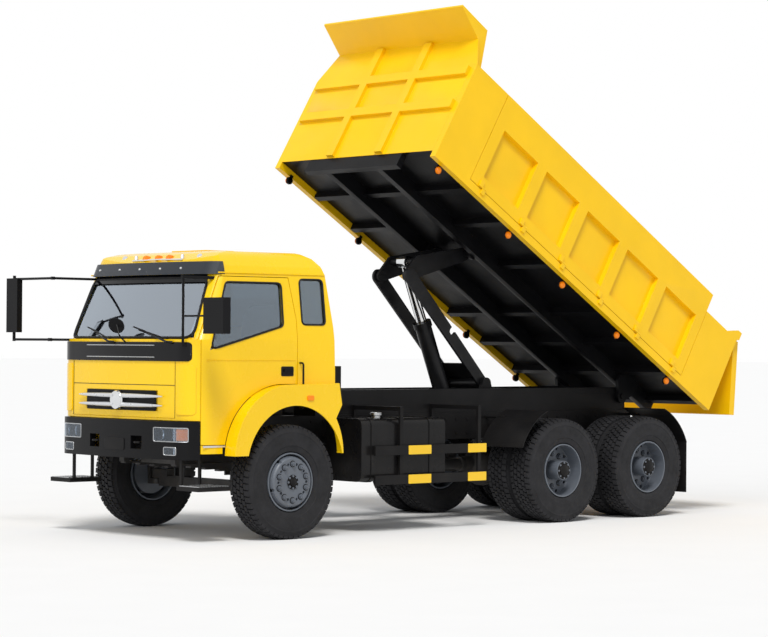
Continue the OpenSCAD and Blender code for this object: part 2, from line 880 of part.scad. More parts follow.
bumper_ahead = 55;
bumper_half = nose_half - 10;
bumper_radius = 260;
bumper_wall = 60;
bumper_bottom = 745;

module bumper_mass(inset) {
    linear_extrude(3000) nose_plan(cab_front + bumper_ahead, bumper_half, face_bow, bumper_radius, inset);
}

module bumper() {
    color(black) placed() {
        difference() {
            intersection() {
                block(door_front_x + 4, 1400, -cab_half, cab_half, bumper_bottom, bumper_top);
                bumper_mass(0);
            }
            bumper_mass(bumper_wall);
            for (y = [-320, 320]) block(1000, 1300, y - 78, y + 78, 830, 950);
            both_sides() block(900, 1400, lamp_y0, lamp_y1, lamp_z0, lamp_z1);
            both_sides() block(900, 1400, fog_y0, fog_y1, fog_z0, fog_z1);
        }
        both_sides() block(cab_front - 130 + eps / 2, cab_front + bumper_ahead - bumper_wall - 8,
                           rail_y - rail_flange, rail_y, rail_bottom + 125, bumper_top - 20);
    }
}

// The band inside the bumper's wall that the lamps fill
module lamp_depth() {
    difference() {
        bumper_mass(4);
        bumper_mass(bumper_wall - 4);
    }
}

module headlamps() {
    color(silver) placed() {
        both_sides() {
            intersection() {
                block(900, 1400, lamp_y0 + running_gap, lamp_y1 - running_gap,
                      lamp_z0 + running_gap, lamp_z1 - running_gap);
                lamp_depth();
            }
            intersection() {
                block(900, 1400, fog_y0 + running_gap, fog_y1 - running_gap,
                      fog_z0 + running_gap, fog_z1 - running_gap);
                lamp_depth();
            }
        }
    }
}

mirror_out = cab_half + 460;
mirror_arm_r = 12;
mirror_arm_y = cab_half + 370;
mirror_top_z = belt_z + 572;
mirror_foot_z = belt_z - 8;
mirror_arm_x = mirror_front - 30;

// The right mirror: a tall head on a post between two long arms off the cab's corner
module right_mirror() {
    block(mirror_front - 60, mirror_front, -mirror_out, -cab_half - 280, belt_z + 60, belt_z + 580);
    translate([mirror_arm_x, -mirror_arm_y, mirror_foot_z - 16]) cylinder(r = mirror_arm_r + 3, h = 630);
    for (k = [[mirror_top_z, nose_half - 190], [mirror_foot_z, nose_half - 150]]) {
        bar_y(mirror_arm_x, k[0], mirror_arm_r, -mirror_arm_y, -k[1]);
        block(mirror_arm_x - 15, mirror_arm_x + 15, -k[1] - 15, -k[1] + 15, k[0] - 15, k[0] + 15);
        difference() {
            bar_x(windscreen_head_x - 300, mirror_arm_x, -k[1], k[0], mirror_arm_r);
            cab_mass(-running_gap);
            cab_core(-running_gap);
        }
    }
}

left_post_x = cab_front - 25;
left_post_y = nose_half - 130;

// The left mirror: a shorter head on a bracket off a post in front of the pillar
module left_mirror() {
    block(left_post_x - 5, left_post_x + 80, cab_half + 180, mirror_out, belt_z + 50, belt_z + 370);
    translate([left_post_x, left_post_y, belt_z - 65]) cylinder(r = mirror_arm_r, h = 640);
    bar_y(left_post_x, belt_z + 210, mirror_arm_r - 3, left_post_y, cab_half + 185);
    for (k = [[belt_z - 50, 14], [belt_z + 560, 15]])
        difference() {
            block(windscreen_head_x - 150, left_post_x + 18, left_post_y - 12, left_post_y + 12, k[0] - k[1], k[0] + k[1]);
            cab_mass(-running_gap);
            cab_core(-running_gap);
        }
}

module mirrors() {
    color(black) placed() {
        left_mirror();
        right_mirror();
    }
}

module fender() {
    difference() {
        slab(cab_half - 160, flare_y) flare_outline(0);
        slab(cab_half - 161, flare_y - flare_wall) flare_outline(flare_wall);
        slab(cab_half - 161, flare_y + 1) arch_outline();
        cab_core(-running_gap);
    }
}

module flare_outline(inset) {
    intersection() {
        union() {
            translate([flare_x, flare_z]) circle(r = flare_r - inset, $fn = 96);
            polygon([
                [flare_x, flare_top - inset], [flare_rear + inset, flare_top + 12 - inset],
                [flare_rear - 35 + inset, flare_top - 190], [flare_rear + 40 + inset, flare_top - 320],
                [flare_x, flare_z - 150]]);
            translate([flare_x, cab_sill - 20 + inset]) square([flare_r - inset, flare_z - cab_sill + 20]);
        }
        translate([-2000, cab_sill - 20 + inset]) square([4000, 2000]);
    }
}

module arch_outline() {
    translate([arch_x, arch_z]) circle(r = arch_r, $fn = 96);
    translate([arch_x - arch_r, 0]) square([2 * arch_r, arch_z]);
}

module front_fenders() {
    color(yellow) placed() both_sides() fender();
}

step_y0 = cab_half - 300;

module step_set() {
    block(700, 1060, step_y0, cab_half + 20, 470, 510);
    for (x = [790, 1000])
        block(x, x + 20, step_y0 - 10, step_y0 + 20, 500, cab_sill - 55);
    block(790, 1020, rail_y - rail_flange, step_y0 + 21, cab_sill - 56, cab_sill - 8);
    block(790, 920, rail_y - rail_flange, rail_y, cab_sill - 10, rail_bottom - eps / 2);
}

module cab_steps() {
    color(black) placed() both_sides() step_set();
}

// ---------------------------------------------------------------- what hangs on the chassis

tank_front = -950;
tank_length = 1100;
tank_y0 = 560;
tank_y1 = cab_half - 47;

module fuel_tank() {
    color(black) placed() {
        translate([tank_front - tank_length, 0, 0]) rotate([90, 0, 90]) linear_extrude(tank_length)
            round_rect(tank_y0, 490, tank_y1, 1090, 70);
        for (x = [tank_front - 170, tank_front - 550, tank_front - 930]) {
            translate([x, 0, 0]) rotate([90, 0, 90]) linear_extrude(50) difference() {
                round_rect(tank_y0 - 8, 482, tank_y1 + 8, 1098, 78);
                round_rect(tank_y0, 490, tank_y1, 1090, 70);
            }
            block(x, x + 50, rail_y + eps / 2, tank_y0 - 7, rail_bottom + 20, rail_top - 40);
        }
    }
}

guard_y = cab_half + 20;

module side_guard() {
    for (z = [505, 785]) block(-2560, -1070, guard_y - 25, guard_y, z - 45, z + 45);
    for (x = [-1430, -2480]) {
        block(x - 20, x + 20, guard_y - 51, guard_y - 24, 460, 1200);
        block(x - 20, x + 20, rail_y + eps / 2, guard_y - 25, 1160, 1200);
        block(x - 20, x + 20, rail_y + eps / 2, rail_y + 30, rail_top - 120, 1200);
    }
}

module side_guards() {
    color(black) placed() both_sides() side_guard();
}

module air_tanks() {
    color(black) placed() {
        for (z = [640, 950]) bar_x(-1850, -1150, -800, z, 130);
        for (x = [-1750, -1350])
            block(x, x + 50, -930, -rail_y - eps / 2, 1082, 1106);
        for (x = [-1750, -1350])
            block(x, x + 50, -815, -785, 640, 1082);
        block(-2330, -1980, -1050, -rail_y - eps / 2, 620, 1040);
    }
}

module air_intake() {
    color(black) placed() {
        block(-750, -650, 650, 1000, 1250, 1590);
        block(-750, -690, rail_y - 40, 700, rail_top + eps / 2, 1300);
        translate([-798, -620, rail_top + 200]) cylinder(r = 190, h = 330);
        block(-858, -738, -640, -rail_y + 40, rail_top + eps / 2, rail_top + 210);
    }
}

mud_r = tyre_r + 122;
mud_y0 = inner_tyre_y - tyre_width / 2;
mud_y1 = outer_tyre_y + tyre_width / 2 - 5;
mud_bracket_angle = 55;

// A quarter mudguard in front of an axle, with the bar that carries it
module quarter_mudguard() {
    translate([0, mud_y1, axle_z]) rotate([90, 0, 0]) rotate([0, 0, 22])
        rotate_extrude(angle = 46, $fn = 96) translate([mud_r, 0]) square([8, mud_y1 - mud_y0]);
    bar_y(cos(mud_bracket_angle) * (mud_r + 2), axle_z + sin(mud_bracket_angle) * (mud_r + 2), 14,
          rail_y + running_gap, mud_y0 + 120);
}

module rear_mudguards() {
    color(black) placed() both_sides() {
        translate([rear1_x, 0, 0]) quarter_mudguard();
        translate([rear2_x, 0, 0]) mirror([1, 0, 0]) {
            quarter_mudguard();
            block(mud_r * cos(22) - 6, mud_r * cos(22) + 4, mud_y0 + 2, mud_y1 - 2, 240, axle_z + mud_r * sin(22) + 10);
        }
    }
}

// ---------------------------------------------------------------- bed

crossbeam_ss = [-420, 180, 780, 1380, 2290, 3060, 3660];
// Stretch of the floor where the crossbeams leave room for the folded hoist
hoist_bay_rear_s = 1700;
hoist_bay_front_s = 3560;

module bed_floor() {
    color(yellow) bed_frame() difference() {
        union() {
            block(bed_rear_s, bed_front_s - wall_plate, -bed_half + 4, bed_half - 4, floor_n - floor_plate, floor_n - eps);
            block(bed_rear_s, bed_front_s - wall_plate, -bed_half + bed_wall + eps, bed_half - bed_wall - eps,
                  floor_n - floor_plate, floor_n);
            both_sides() {
                block(bed_rear_s, bed_front_s, bed_half - bed_wall, bed_half, skirt_n, floor_n - 1);
                block(bed_rear_s + 40, bed_front_s - 60, beam_y - beam_width, beam_y, beam_n, floor_n - floor_plate);
                slab(bed_half - bed_wall, bed_half) rear_post_outline();
                slab(bed_half - bed_wall, bed_half) front_post_outline();
                slab(rail_y + 6, rail_y + 46) hinge_lug_outline();
                slab(beam_y - beam_width - 36, beam_y - beam_width - 6) tri_lug_outline();
                bar_y(ear_s, ear_n, tail_pin_r, bed_half - bed_wall - 60, bed_half - bed_wall + 1);
                for (s = gate_hinge_ss) {
                    bar_x(s - 55, s - running_gap, gate_axis_y, gate_hinge_n, gate_knuckle_r);
                    block(s - 55, s - running_gap, bed_half - 2, gate_axis_y, gate_hinge_n - 60, gate_hinge_n - 15);
                    block(s - 55, s - running_gap, gate_axis_y - 4, gate_axis_y + 4, gate_hinge_n - 60, gate_hinge_n);
                }
            }
            for (s = crossbeam_ss)
                if (s < hoist_bay_rear_s || s > hoist_bay_front_s) crossbeam(s, -bed_half + 20);
                else both_sides() crossbeam(s, beam_y - beam_width / 2);
            block(bed_front_s - 75, bed_front_s - wall_plate, -690, 690, beam_n, floor_n - floor_plate + 1);
            bar_y(tri_pivot_s, tri_pivot_n, pin_r, -beam_y + beam_width + 10, beam_y - beam_width - 10);
        }
        bar_y(0, 0, 30 + running_gap, -2000, 2000);
    }
}

// A crossbeam under the floor, from y to the left side
module crossbeam(s, y) {
    block(s - 35, s + 35, y, bed_half - 20, skirt_n + 4, floor_n - floor_plate + 1);
}

module rear_post_outline() {
    polygon([
        [bed_rear_s, skirt_n], [post_rear_s, skirt_n], [post_rear_s, rear_post_n], [-380, rear_post_n],
        [ear_s + 40, ear_n + 45], [ear_s - 25, ear_n + 45], [ear_s - 25, ear_n - 40], [bed_rear_s, ear_n - 60]]);
}

module front_post_outline() {
    polygon([[post_front_s, skirt_n], [bed_front_s, skirt_n], [bed_front_s, bed_top_n], [post_front_s, bed_top_n]]);
}

module hinge_lug_outline() {
    circle(r = 70);
    polygon([[-70, 0], [-150, beam_n + 2], [-150, floor_n - 1], [150, floor_n - 1], [150, beam_n + 2], [70, 0]]);
}

module tri_lug_outline() {
    translate([tri_pivot_s, tri_pivot_n]) circle(r = 60);
    translate([tri_pivot_s - 60, tri_pivot_n]) square([120, floor_n - floor_plate - tri_pivot_n + 1]);
}

module bed_front_wall() {
    color(yellow) bed_frame() {
        block(bed_front_s - wall_plate, bed_front_s + 1, -bed_half + bed_wall + eps, bed_half - bed_wall - eps,
              floor_n - floor_plate, bed_top_n + eps);
        rotate([90, 0, 90]) translate([0, 0, bed_front_s - wall_plate]) linear_extrude(wall_plate + 1)
            polygon([[-bed_half, bed_top_n], [bed_half, bed_top_n], [canopy_half, canopy_crease_n],
                     [-canopy_half, canopy_crease_n]]);
        for (y = [-wall_rib_y, wall_rib_y])
            block(bed_front_s, bed_front_s + wall_rib, y - wall_rib_width / 2, y + wall_rib_width / 2,
                  floor_n + 1, canopy_crease_n - 10);
        for (n = [floor_n + 485, bed_top_n - 130])
            block(bed_front_s, bed_front_s + wall_rib, -bed_half + bed_wall + eps, bed_half - bed_wall - eps,
                  n, n + wall_rib_width);
        slab(-canopy_half, canopy_half) polygon([
            [bed_front_s - 65, canopy_crease_n - 5], [bed_front_s + 1, canopy_crease_n - 5],
            [canopy_tip_s, canopy_top_n - 8], [canopy_tip_s, canopy_top_n + 10], [bed_front_s - 65, canopy_top_n]]);
        both_sides() slab(canopy_half - 6, canopy_half) polygon([
            [bed_front_s - 4, bed_top_n + 60], [bed_front_s - 4, canopy_crease_n], [bed_front_s - 65, canopy_top_n - 5],
            [bed_front_s - 200, bed_top_n + 60]]);
    }
}

bay_count = 5;
gate_knuckle_r = 9;
gate_axis_y = bed_half + 12;
gate_front_s = post_front_s - part_gap;
gate_rear_s = post_rear_s + part_gap;
gate_hinge_ss = [for (i = [0:5]) gate_rear_s + 175 + i * (gate_front_s - gate_rear_s - 350) / 5];
tail_pin_r = 14;

module side_gate() {
    pitch = (gate_front_s - gate_rear_s - 120) / bay_count;
    difference() {
        block(gate_rear_s, gate_front_s, bed_half - bed_wall, bed_half, gate_bottom_n, bed_top_n);
        for (i = [0:bay_count - 1])
            block(gate_rear_s + 130 + i * pitch, gate_rear_s + 130 + i * pitch + pitch - 150,
                  bed_half - bed_wall + 12, bed_half + 1, gate_bottom_n + 120, bed_top_n - 335);
    }
    for (s = gate_hinge_ss) {
        bar_x(s + running_gap, s + 55, gate_axis_y, gate_hinge_n, gate_knuckle_r);
        block(s + running_gap, s + 55, bed_half - 2, gate_axis_y, gate_hinge_n + 15, gate_hinge_n + 60);
        block(s + running_gap, s + 55, gate_axis_y - 4, gate_axis_y + 4, gate_hinge_n, gate_hinge_n + 60);
    }
}

module left_side_gate() {
    color(yellow) bed_frame() side_gate();
}
module right_side_gate() {
    color(yellow) bed_frame() mirror([0, 1, 0]) side_gate();
}

// Drawn hanging from its hinge, in the truck's own upright frame
module tailgate() {
    tail_half = bed_half - bed_wall - part_gap;
    color(yellow) placed() translate([tail_hinge[0], 0, tail_hinge[1]]) rotate([0, -tail_hang, 0]) difference() {
        union() {
            block(-55, tail_face, -tail_half, tail_half, -tail_height, -60);
            block(-tail_thickness, -54, -tail_half, tail_half, -tail_height, -tail_height + 110);
            block(-tail_thickness, -54, -tail_half, tail_half, -170, -60);
            for (y = [-tail_half + 55, -tail_half * 0.5, 0, tail_half * 0.5, tail_half - 55])
                block(-tail_thickness, -54, y - 55, y + 55, -tail_height, -60);
            both_sides() block(-55, tail_face, tail_half - 60, tail_half, -61, 35);
        }
        bar_y(0, 0, tail_pin_r + running_gap, -2000, 2000);
    }
}

// ---------------------------------------------------------------- hoist

// Two plates hung from the bed, joined at the tube they pivot on
module hoist_triangle() {
    corner_a = [tri_r * cos(tri_angle), tri_r * sin(tri_angle)];
    corner_b = [eye_r * cos(eye_angle), eye_r * sin(eye_angle)];
    color(black) bed_frame() translate([tri_pivot_s, 0, tri_pivot_n]) difference() {
        union() {
            bar_y(0, 0, boss_r, -tri_y - tri_plate, tri_y + tri_plate);
            both_sides() {
                slab(tri_y, tri_y + tri_plate) {
                    link_outline([0, 0], corner_a, 70, 55);
                    link_outline([0, 0], corner_b, 70, 60);
                    link_outline(corner_a, corner_b, 55, 60);
                }
                bar_y(corner_b[0], corner_b[1], pin_r + 8, 66, tri_y + 1);
            }
        }
        bar_y(0, 0, pin_r + running_gap, -500, 500);
    }
}

// Where the triangle's pin lies along the arm when the bed is down
arm_turn = 1.582;
arm_low = arm_angle - arm_turn * bed_tip;
pin_dx = hinge_x + tri_pivot_s - arm_pivot[0];
pin_dz = hinge_height + tri_pivot_n - arm_pivot[1];
saddle_along = pin_dx * cos(arm_low) + pin_dz * sin(arm_low);
saddle_up = pin_dz * cos(arm_low) - pin_dx * sin(arm_low);

// Twin pull arms from the subframe, joined at their lower tube
module hoist_arm() {
    color(black) placed() translate([arm_pivot[0], 0, arm_pivot[1]]) rotate([0, -arm_angle, 0]) difference() {
        union() {
            bar_y(0, 0, boss_r, -arm_y - arm_plate, arm_y + arm_plate);
            both_sides() slab(arm_y, arm_y + arm_plate) link_outline([0, 0], [arm_length, 0], 62, 75);
            block(60, 260, -arm_y - 1, arm_y + 1, 20, 34);
            block(0, 60, -arm_y - 1, arm_y + 1, 30, 45);
        }
        bar_y(0, 0, pin_r + running_gap, -500, 500);
        // Saddle that clears the triangle's pin when the bed is down
        bar_y(saddle_along, saddle_up, pin_r + 10, -500, 500);
        block(saddle_along - pin_r - 10, saddle_along + pin_r + 10, -500, 500, saddle_up, 200);
    }
}

module cylinder_frame() {
    placed() translate([cyl_pivot[0], 0, cyl_pivot[1]]) rotate([0, -cyl_angle, 0]) children();
}

module hoist_barrel() {
    r = barrel_diameter / 2;
    color(black) cylinder_frame() difference() {
        union() {
            bar_x(40, barrel_length, 0, 0, r);
            bar_x(barrel_length - 60, barrel_length, 0, 0, r + 12);
            bar_y(0, 0, boss_r + 10, -r, r);
        }
        bar_x(85, barrel_length + 1, 0, 0, rod_diameter / 2 + running_gap);
        bar_y(0, 0, pin_r + running_gap, -500, 500);
    }
}

module hoist_rod() {
    color(silver) cylinder_frame() {
        bar_x(cyl_span - rod_length, cyl_span - 40, 0, 0, rod_diameter / 2);
        difference() {
            bar_y(cyl_span, 0, 60, -60, 60);
            bar_y(cyl_span, 0, pin_r + 8, -100, 100);
        }
    }
}

chassis_frame();
hoist_subframe();
front_axle();
left_knuckle();
right_knuckle();
rear_axles();
leaf_springs();
propeller_shafts();
engine_block();
front_left_tyre();
front_left_wheel();
front_right_tyre();
front_right_wheel();
twin_tyres(rear1_x, 1);  // middle_left_tyres
color(rim_grey) rear_wheel(rear1_x);  // middle_left_wheels
twin_tyres(rear1_x, -1);  // middle_right_tyres
color(rim_grey) mirror([0, 1, 0]) rear_wheel(rear1_x);  // middle_right_wheels
twin_tyres(rear2_x, 1);  // rear_left_tyres
color(rim_grey) rear_wheel(rear2_x);  // rear_left_wheels
twin_tyres(rear2_x, -1);  // rear_right_tyres
color(rim_grey) mirror([0, 1, 0]) rear_wheel(rear2_x);  // rear_right_wheels
cab_body();
cab_roof();
cab_glass();
grille_panel();
left_door();
right_door();
left_door_glass();
right_door_glass();
dashboard();
seats();
steering_wheel();
sun_visor();
bumper();
headlamps();
mirrors();
front_fenders();
cab_steps();
fuel_tank();
side_guards();
air_tanks();
air_intake();
rear_mudguards();
bed_floor();
bed_front_wall();
left_side_gate();
right_side_gate();
tailgate();
hoist_triangle();
hoist_arm();
hoist_barrel();
hoist_rod();
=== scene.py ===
# %% [markdown]
# # A three-axle tipper truck
# A tipping lorry stands with its bed raised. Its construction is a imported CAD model, and this
# script gives it the surfaces that a person sees: paint, rubber, glass, lamps, welded ribs and
# wheel nuts. Everything is in metres, with +X forward, +Y to the truck's left and +Z up.

# %% Load the frame
import json
import math

import bmesh
import bpy
from mathutils import Matrix, Vector

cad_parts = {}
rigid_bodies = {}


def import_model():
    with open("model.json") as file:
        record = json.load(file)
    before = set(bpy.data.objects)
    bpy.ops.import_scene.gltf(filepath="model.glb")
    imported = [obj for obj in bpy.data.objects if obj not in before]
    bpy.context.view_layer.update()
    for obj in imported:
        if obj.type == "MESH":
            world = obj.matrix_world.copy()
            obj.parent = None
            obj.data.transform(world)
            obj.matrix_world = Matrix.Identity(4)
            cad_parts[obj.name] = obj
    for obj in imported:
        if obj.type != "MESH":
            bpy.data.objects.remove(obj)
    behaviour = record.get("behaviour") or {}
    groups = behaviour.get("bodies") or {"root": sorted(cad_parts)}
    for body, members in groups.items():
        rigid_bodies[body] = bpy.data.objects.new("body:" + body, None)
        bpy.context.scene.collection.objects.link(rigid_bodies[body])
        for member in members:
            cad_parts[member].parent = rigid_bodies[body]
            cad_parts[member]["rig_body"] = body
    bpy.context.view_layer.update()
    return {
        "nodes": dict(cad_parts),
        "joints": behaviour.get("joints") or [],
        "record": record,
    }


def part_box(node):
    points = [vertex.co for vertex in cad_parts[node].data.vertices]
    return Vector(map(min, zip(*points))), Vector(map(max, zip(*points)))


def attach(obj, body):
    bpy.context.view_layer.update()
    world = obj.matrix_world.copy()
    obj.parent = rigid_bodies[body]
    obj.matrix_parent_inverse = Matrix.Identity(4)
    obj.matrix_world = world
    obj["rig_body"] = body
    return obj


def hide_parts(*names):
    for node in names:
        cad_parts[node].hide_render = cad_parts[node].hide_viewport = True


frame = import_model()

# %% [markdown]
# ## Two working frames
# The cab, chassis and wheels are drawn with x = 0 at the front axle, as a truck's drawings are.
# The bed is drawn in its own frame: s runs forward along the floor from the rear hinge and n is
# square to the floor. Both frames come from the joints in the record, so a piece lands where the
# construction has it, and no place is measured twice.

# %% The truck's frame and the bed's frame
joints = {j["name"]: j for j in frame["joints"]}


def pivot(name):
    return Vector(joints[name]["pos_m"])


front_hub = pivot("front_left_spin")
axle_z = front_hub.z
wheelbase = front_hub.x - pivot("middle_left_spin").x
bogie_spacing = pivot("middle_left_spin").x - pivot("rear_left_spin").x
tip = math.radians(-joints["bed_tip"]["range_deg"][0])
TRUCK = Matrix.Translation((front_hub.x, 0, 0))
BED = Matrix.Translation(pivot("bed_tip")) @ Matrix.Rotation(-tip, 4, "Y")
print("wheelbase", round(wheelbase, 3), "bogie", round(bogie_spacing, 3), "tip", round(math.degrees(tip), 1))

# %% [markdown]
# ## A small kit for sheet-metal shapes
# Most of a truck is plate, tube and turned parts. A plate is an outline carried along an axis, a
# pipe is a circle swept along a path, and a wheel is a profile spun round its axle. `Shape` keeps
# many such solids in one mesh, so a family of brackets is one object. The bevel that catches the
# light on each edge is a modifier that is baked at the end, because a plain mesh is what the
# frame wants.

# %% The Shape kit
HARD_EDGE = math.radians(32)


def arc(cx, cz, r, start, end, steps=8):
    """Points on a circle from one angle to another, in degrees."""
    angles = [math.radians(start + (end - start) * i / steps) for i in range(steps + 1)]
    return [(cx + r * math.cos(a), cz + r * math.sin(a)) for a in angles]


def rounded(x0, x1, z0, z1, r, steps=5):
    """A rectangle with round corners."""
    return (
        arc(x1 - r, z0 + r, r, -90, 0, steps)
        + arc(x1 - r, z1 - r, r, 0, 90, steps)
        + arc(x0 + r, z1 - r, r, 90, 180, steps)
        + arc(x0 + r, z0 + r, r, 180, 270, steps)
    )


def inset(outline, d):
    """The outline drawn in by d, for one whose corners turn one way."""
    points = [Vector(p) for p in outline]
    area = sum(a.cross(b) for a, b in zip(points, points[1:] + points[:1]))
    turn = 1 if area > 0 else -1
    made = []
    for i, p in enumerate(points):
        before = (p - points[i - 1]).normalized()
        after = (points[(i + 1) % len(points)] - p).normalized()
        normal = (Vector((-before.y, before.x)) + Vector((-after.y, after.x))) * turn
        made.append(tuple(p + normal.normalized() * d / max(0.3, math.cos(before.angle(after) / 2))))
    return made


def bent(points, radius, steps=5):
    """A polyline with each inner corner rounded, as a bent tube has."""
    points = [Vector(p) for p in points]
    path = [points[0]]
    for a, b, c in zip(points, points[1:], points[2:]):
        u, v = (a - b).normalized(), (c - b).normalized()
        reach = min(radius / math.tan(u.angle(v) / 2), (a - b).length * 0.48, (c - b).length * 0.48)
        p, q = b + u * reach, b + v * reach
        path += [p.lerp(b, t).lerp(b.lerp(q, t), t) for t in (i / steps for i in range(steps + 1))]
    return path + [points[-1]]


class Shape:
    """Several solids in one mesh, drawn in the truck's frame or the bed's."""

    def __init__(self, at=TRUCK):
        self.bm = bmesh.new()
        self.at = at

    def shell(self, rings, closed=True, caps=True):
        """Skins a run of rings that have as many points each."""
        made = [[self.bm.verts.new(p) for p in ring] for ring in rings]
        pairs = list(zip(made, made[1:] + (made[:1] if not caps and closed == "loop" else [])))
        for a, b in pairs:
            for i in range(len(a)):
                j = (i + 1) % len(a)
                self.bm.faces.new((a[i], a[j], b[j], b[i]))
        if caps:
            self.bm.faces.new(list(reversed(made[0])))
            self.bm.faces.new(made[-1])
        return self

    def prism(self, outline, lo, hi, axis="y"):
        """An outline carried from lo to hi: (x, z) along y, (y, z) along x, or (x, y) along z."""
        place = {
            "y": lambda a, b, h: (a, h, b),
            "x": lambda a, b, h: (h, a, b),
            "z": lambda a, b, h: (a, b, h),
        }[axis]
        return self.shell([[place(a, b, h) for a, b in outline] for h in (lo, hi)])

    def block(self, x0, x1, y0, y1, z0, z1):
        return self.prism([(x0, z0), (x1, z0), (x1, z1), (x0, z1)], y0, y1)

    def both(self, x0, x1, y0, y1, z0, z1):
        self.block(x0, x1, y0, y1, z0, z1)
        return self.block(x0, x1, -y1, -y0, z0, z1)

    def pipe(self, path, radius, sides=10):
        """A round bar swept along a path; radius may be one number or one for each point."""
        path = [Vector(p) for p in path]
        radii = radius if isinstance(radius, (list, tuple)) else [radius] * len(path)
        along = (path[1] - path[0]).normalized()
        side = along.orthogonal().normalized()
        rings = []
        for i, p in enumerate(path):
            before = path[i] - path[i - 1] if i else path[1] - path[0]
            after = path[i + 1] - path[i] if i + 1 < len(path) else path[i] - path[i - 1]
            here = (before.normalized() + after.normalized()).normalized()
            side = (side - here * side.dot(here)).normalized()
            other = here.cross(side)
            turns = [2 * math.pi * k / sides for k in range(sides)]
            rings.append([p + (side * math.cos(t) + other * math.sin(t)) * radii[i] for t in turns])
        return self.shell(rings)

    def turned(self, profile, centre, axis=(0, 1, 0), steps=64):
        """A closed (along, radius) profile spun round an axis through the centre."""
        centre, axis = Vector(centre), Vector(axis).normalized()
        side = axis.orthogonal().normalized()
        other = axis.cross(side)
        rings = []
        for k in range(steps):
            t = 2 * math.pi * k / steps
            out = side * math.cos(t) + other * math.sin(t)
            rings.append([self.bm.verts.new(centre + axis * h + out * r) for h, r in profile])
        count = len(profile)
        for a, b in zip(rings, rings[1:] + rings[:1]):
            for i in range(count):
                j = (i + 1) % count
                if profile[i][1] > 0 or profile[j][1] > 0:
                    self.bm.faces.new((a[i], a[j], b[j], b[i]))
        return self

    def mirrored(self):
        """Adds the other side's copy of what is there, across the truck's middle."""
        copy = bmesh.ops.duplicate(self.bm, geom=self.bm.verts[:] + self.bm.edges[:] + self.bm.faces[:])
        verts = [g for g in copy["geom"] if isinstance(g, bmesh.types.BMVert)]
        for v in verts:
            v.co.y = -v.co.y
        return self

    def piece(self, name, finish, body, slot, bevel=0.003, segments=2, replaces=()):
        """Bakes the solids into one named piece that rides on a body."""
        bmesh.ops.transform(self.bm, matrix=self.at, verts=self.bm.verts)
        return bake(self.bm, name, finish, body, bevel, segments, replaces)


def bake(bm, name, finish, body, bevel=0.0, segments=2, replaces=(), merge=1e-5):
    """Merges, orients, bevels and smooths a mesh, and hands it to the frame."""
    bmesh.ops.remove_doubles(bm, verts=bm.verts, dist=merge)
    bmesh.ops.recalc_face_normals(bm, faces=bm.faces)
    mesh = bpy.data.meshes.new(name)
    bm.to_mesh(mesh)
    bm.free()
    mesh.shade_smooth()
    mesh.set_sharp_from_angle(angle=HARD_EDGE)
    obj = bpy.data.objects.new(name, mesh)
    bpy.context.scene.collection.objects.link(obj)
    if bevel:
        mod = obj.modifiers.new("Edge", "BEVEL")
        mod.width = bevel
        mod.segments = segments
        mod.limit_method = "ANGLE"
        mod.angle_limit = HARD_EDGE
        mod.harden_normals = True
        graph = bpy.context.evaluated_depsgraph_get()
        baked = bpy.data.meshes.new_from_object(obj.evaluated_get(graph))
        obj.modifiers.clear()
        obj.data = baked
        bpy.data.meshes.remove(mesh)
    obj.data.name = name
    obj.data.materials.clear()
    obj.data.materials.append(finish)
    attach(obj, body)
    if replaces:
        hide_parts(*replaces)
    return obj


# %% [markdown]
# ## Finishes
# Paint on a working truck is never one colour: it varies a little from panel to panel, carries
# an orange-peel gloss, and is greyer near the ground, where dust settles. `painted` builds that
# from noise on Object coordinates, which are the truck's own metres, so a pattern has its real
# size and stays put when a panel swings. Values that don't vary, such as a clear coat, are set
# on the shader's own sockets.

# %% A finish from noise, dust and bump


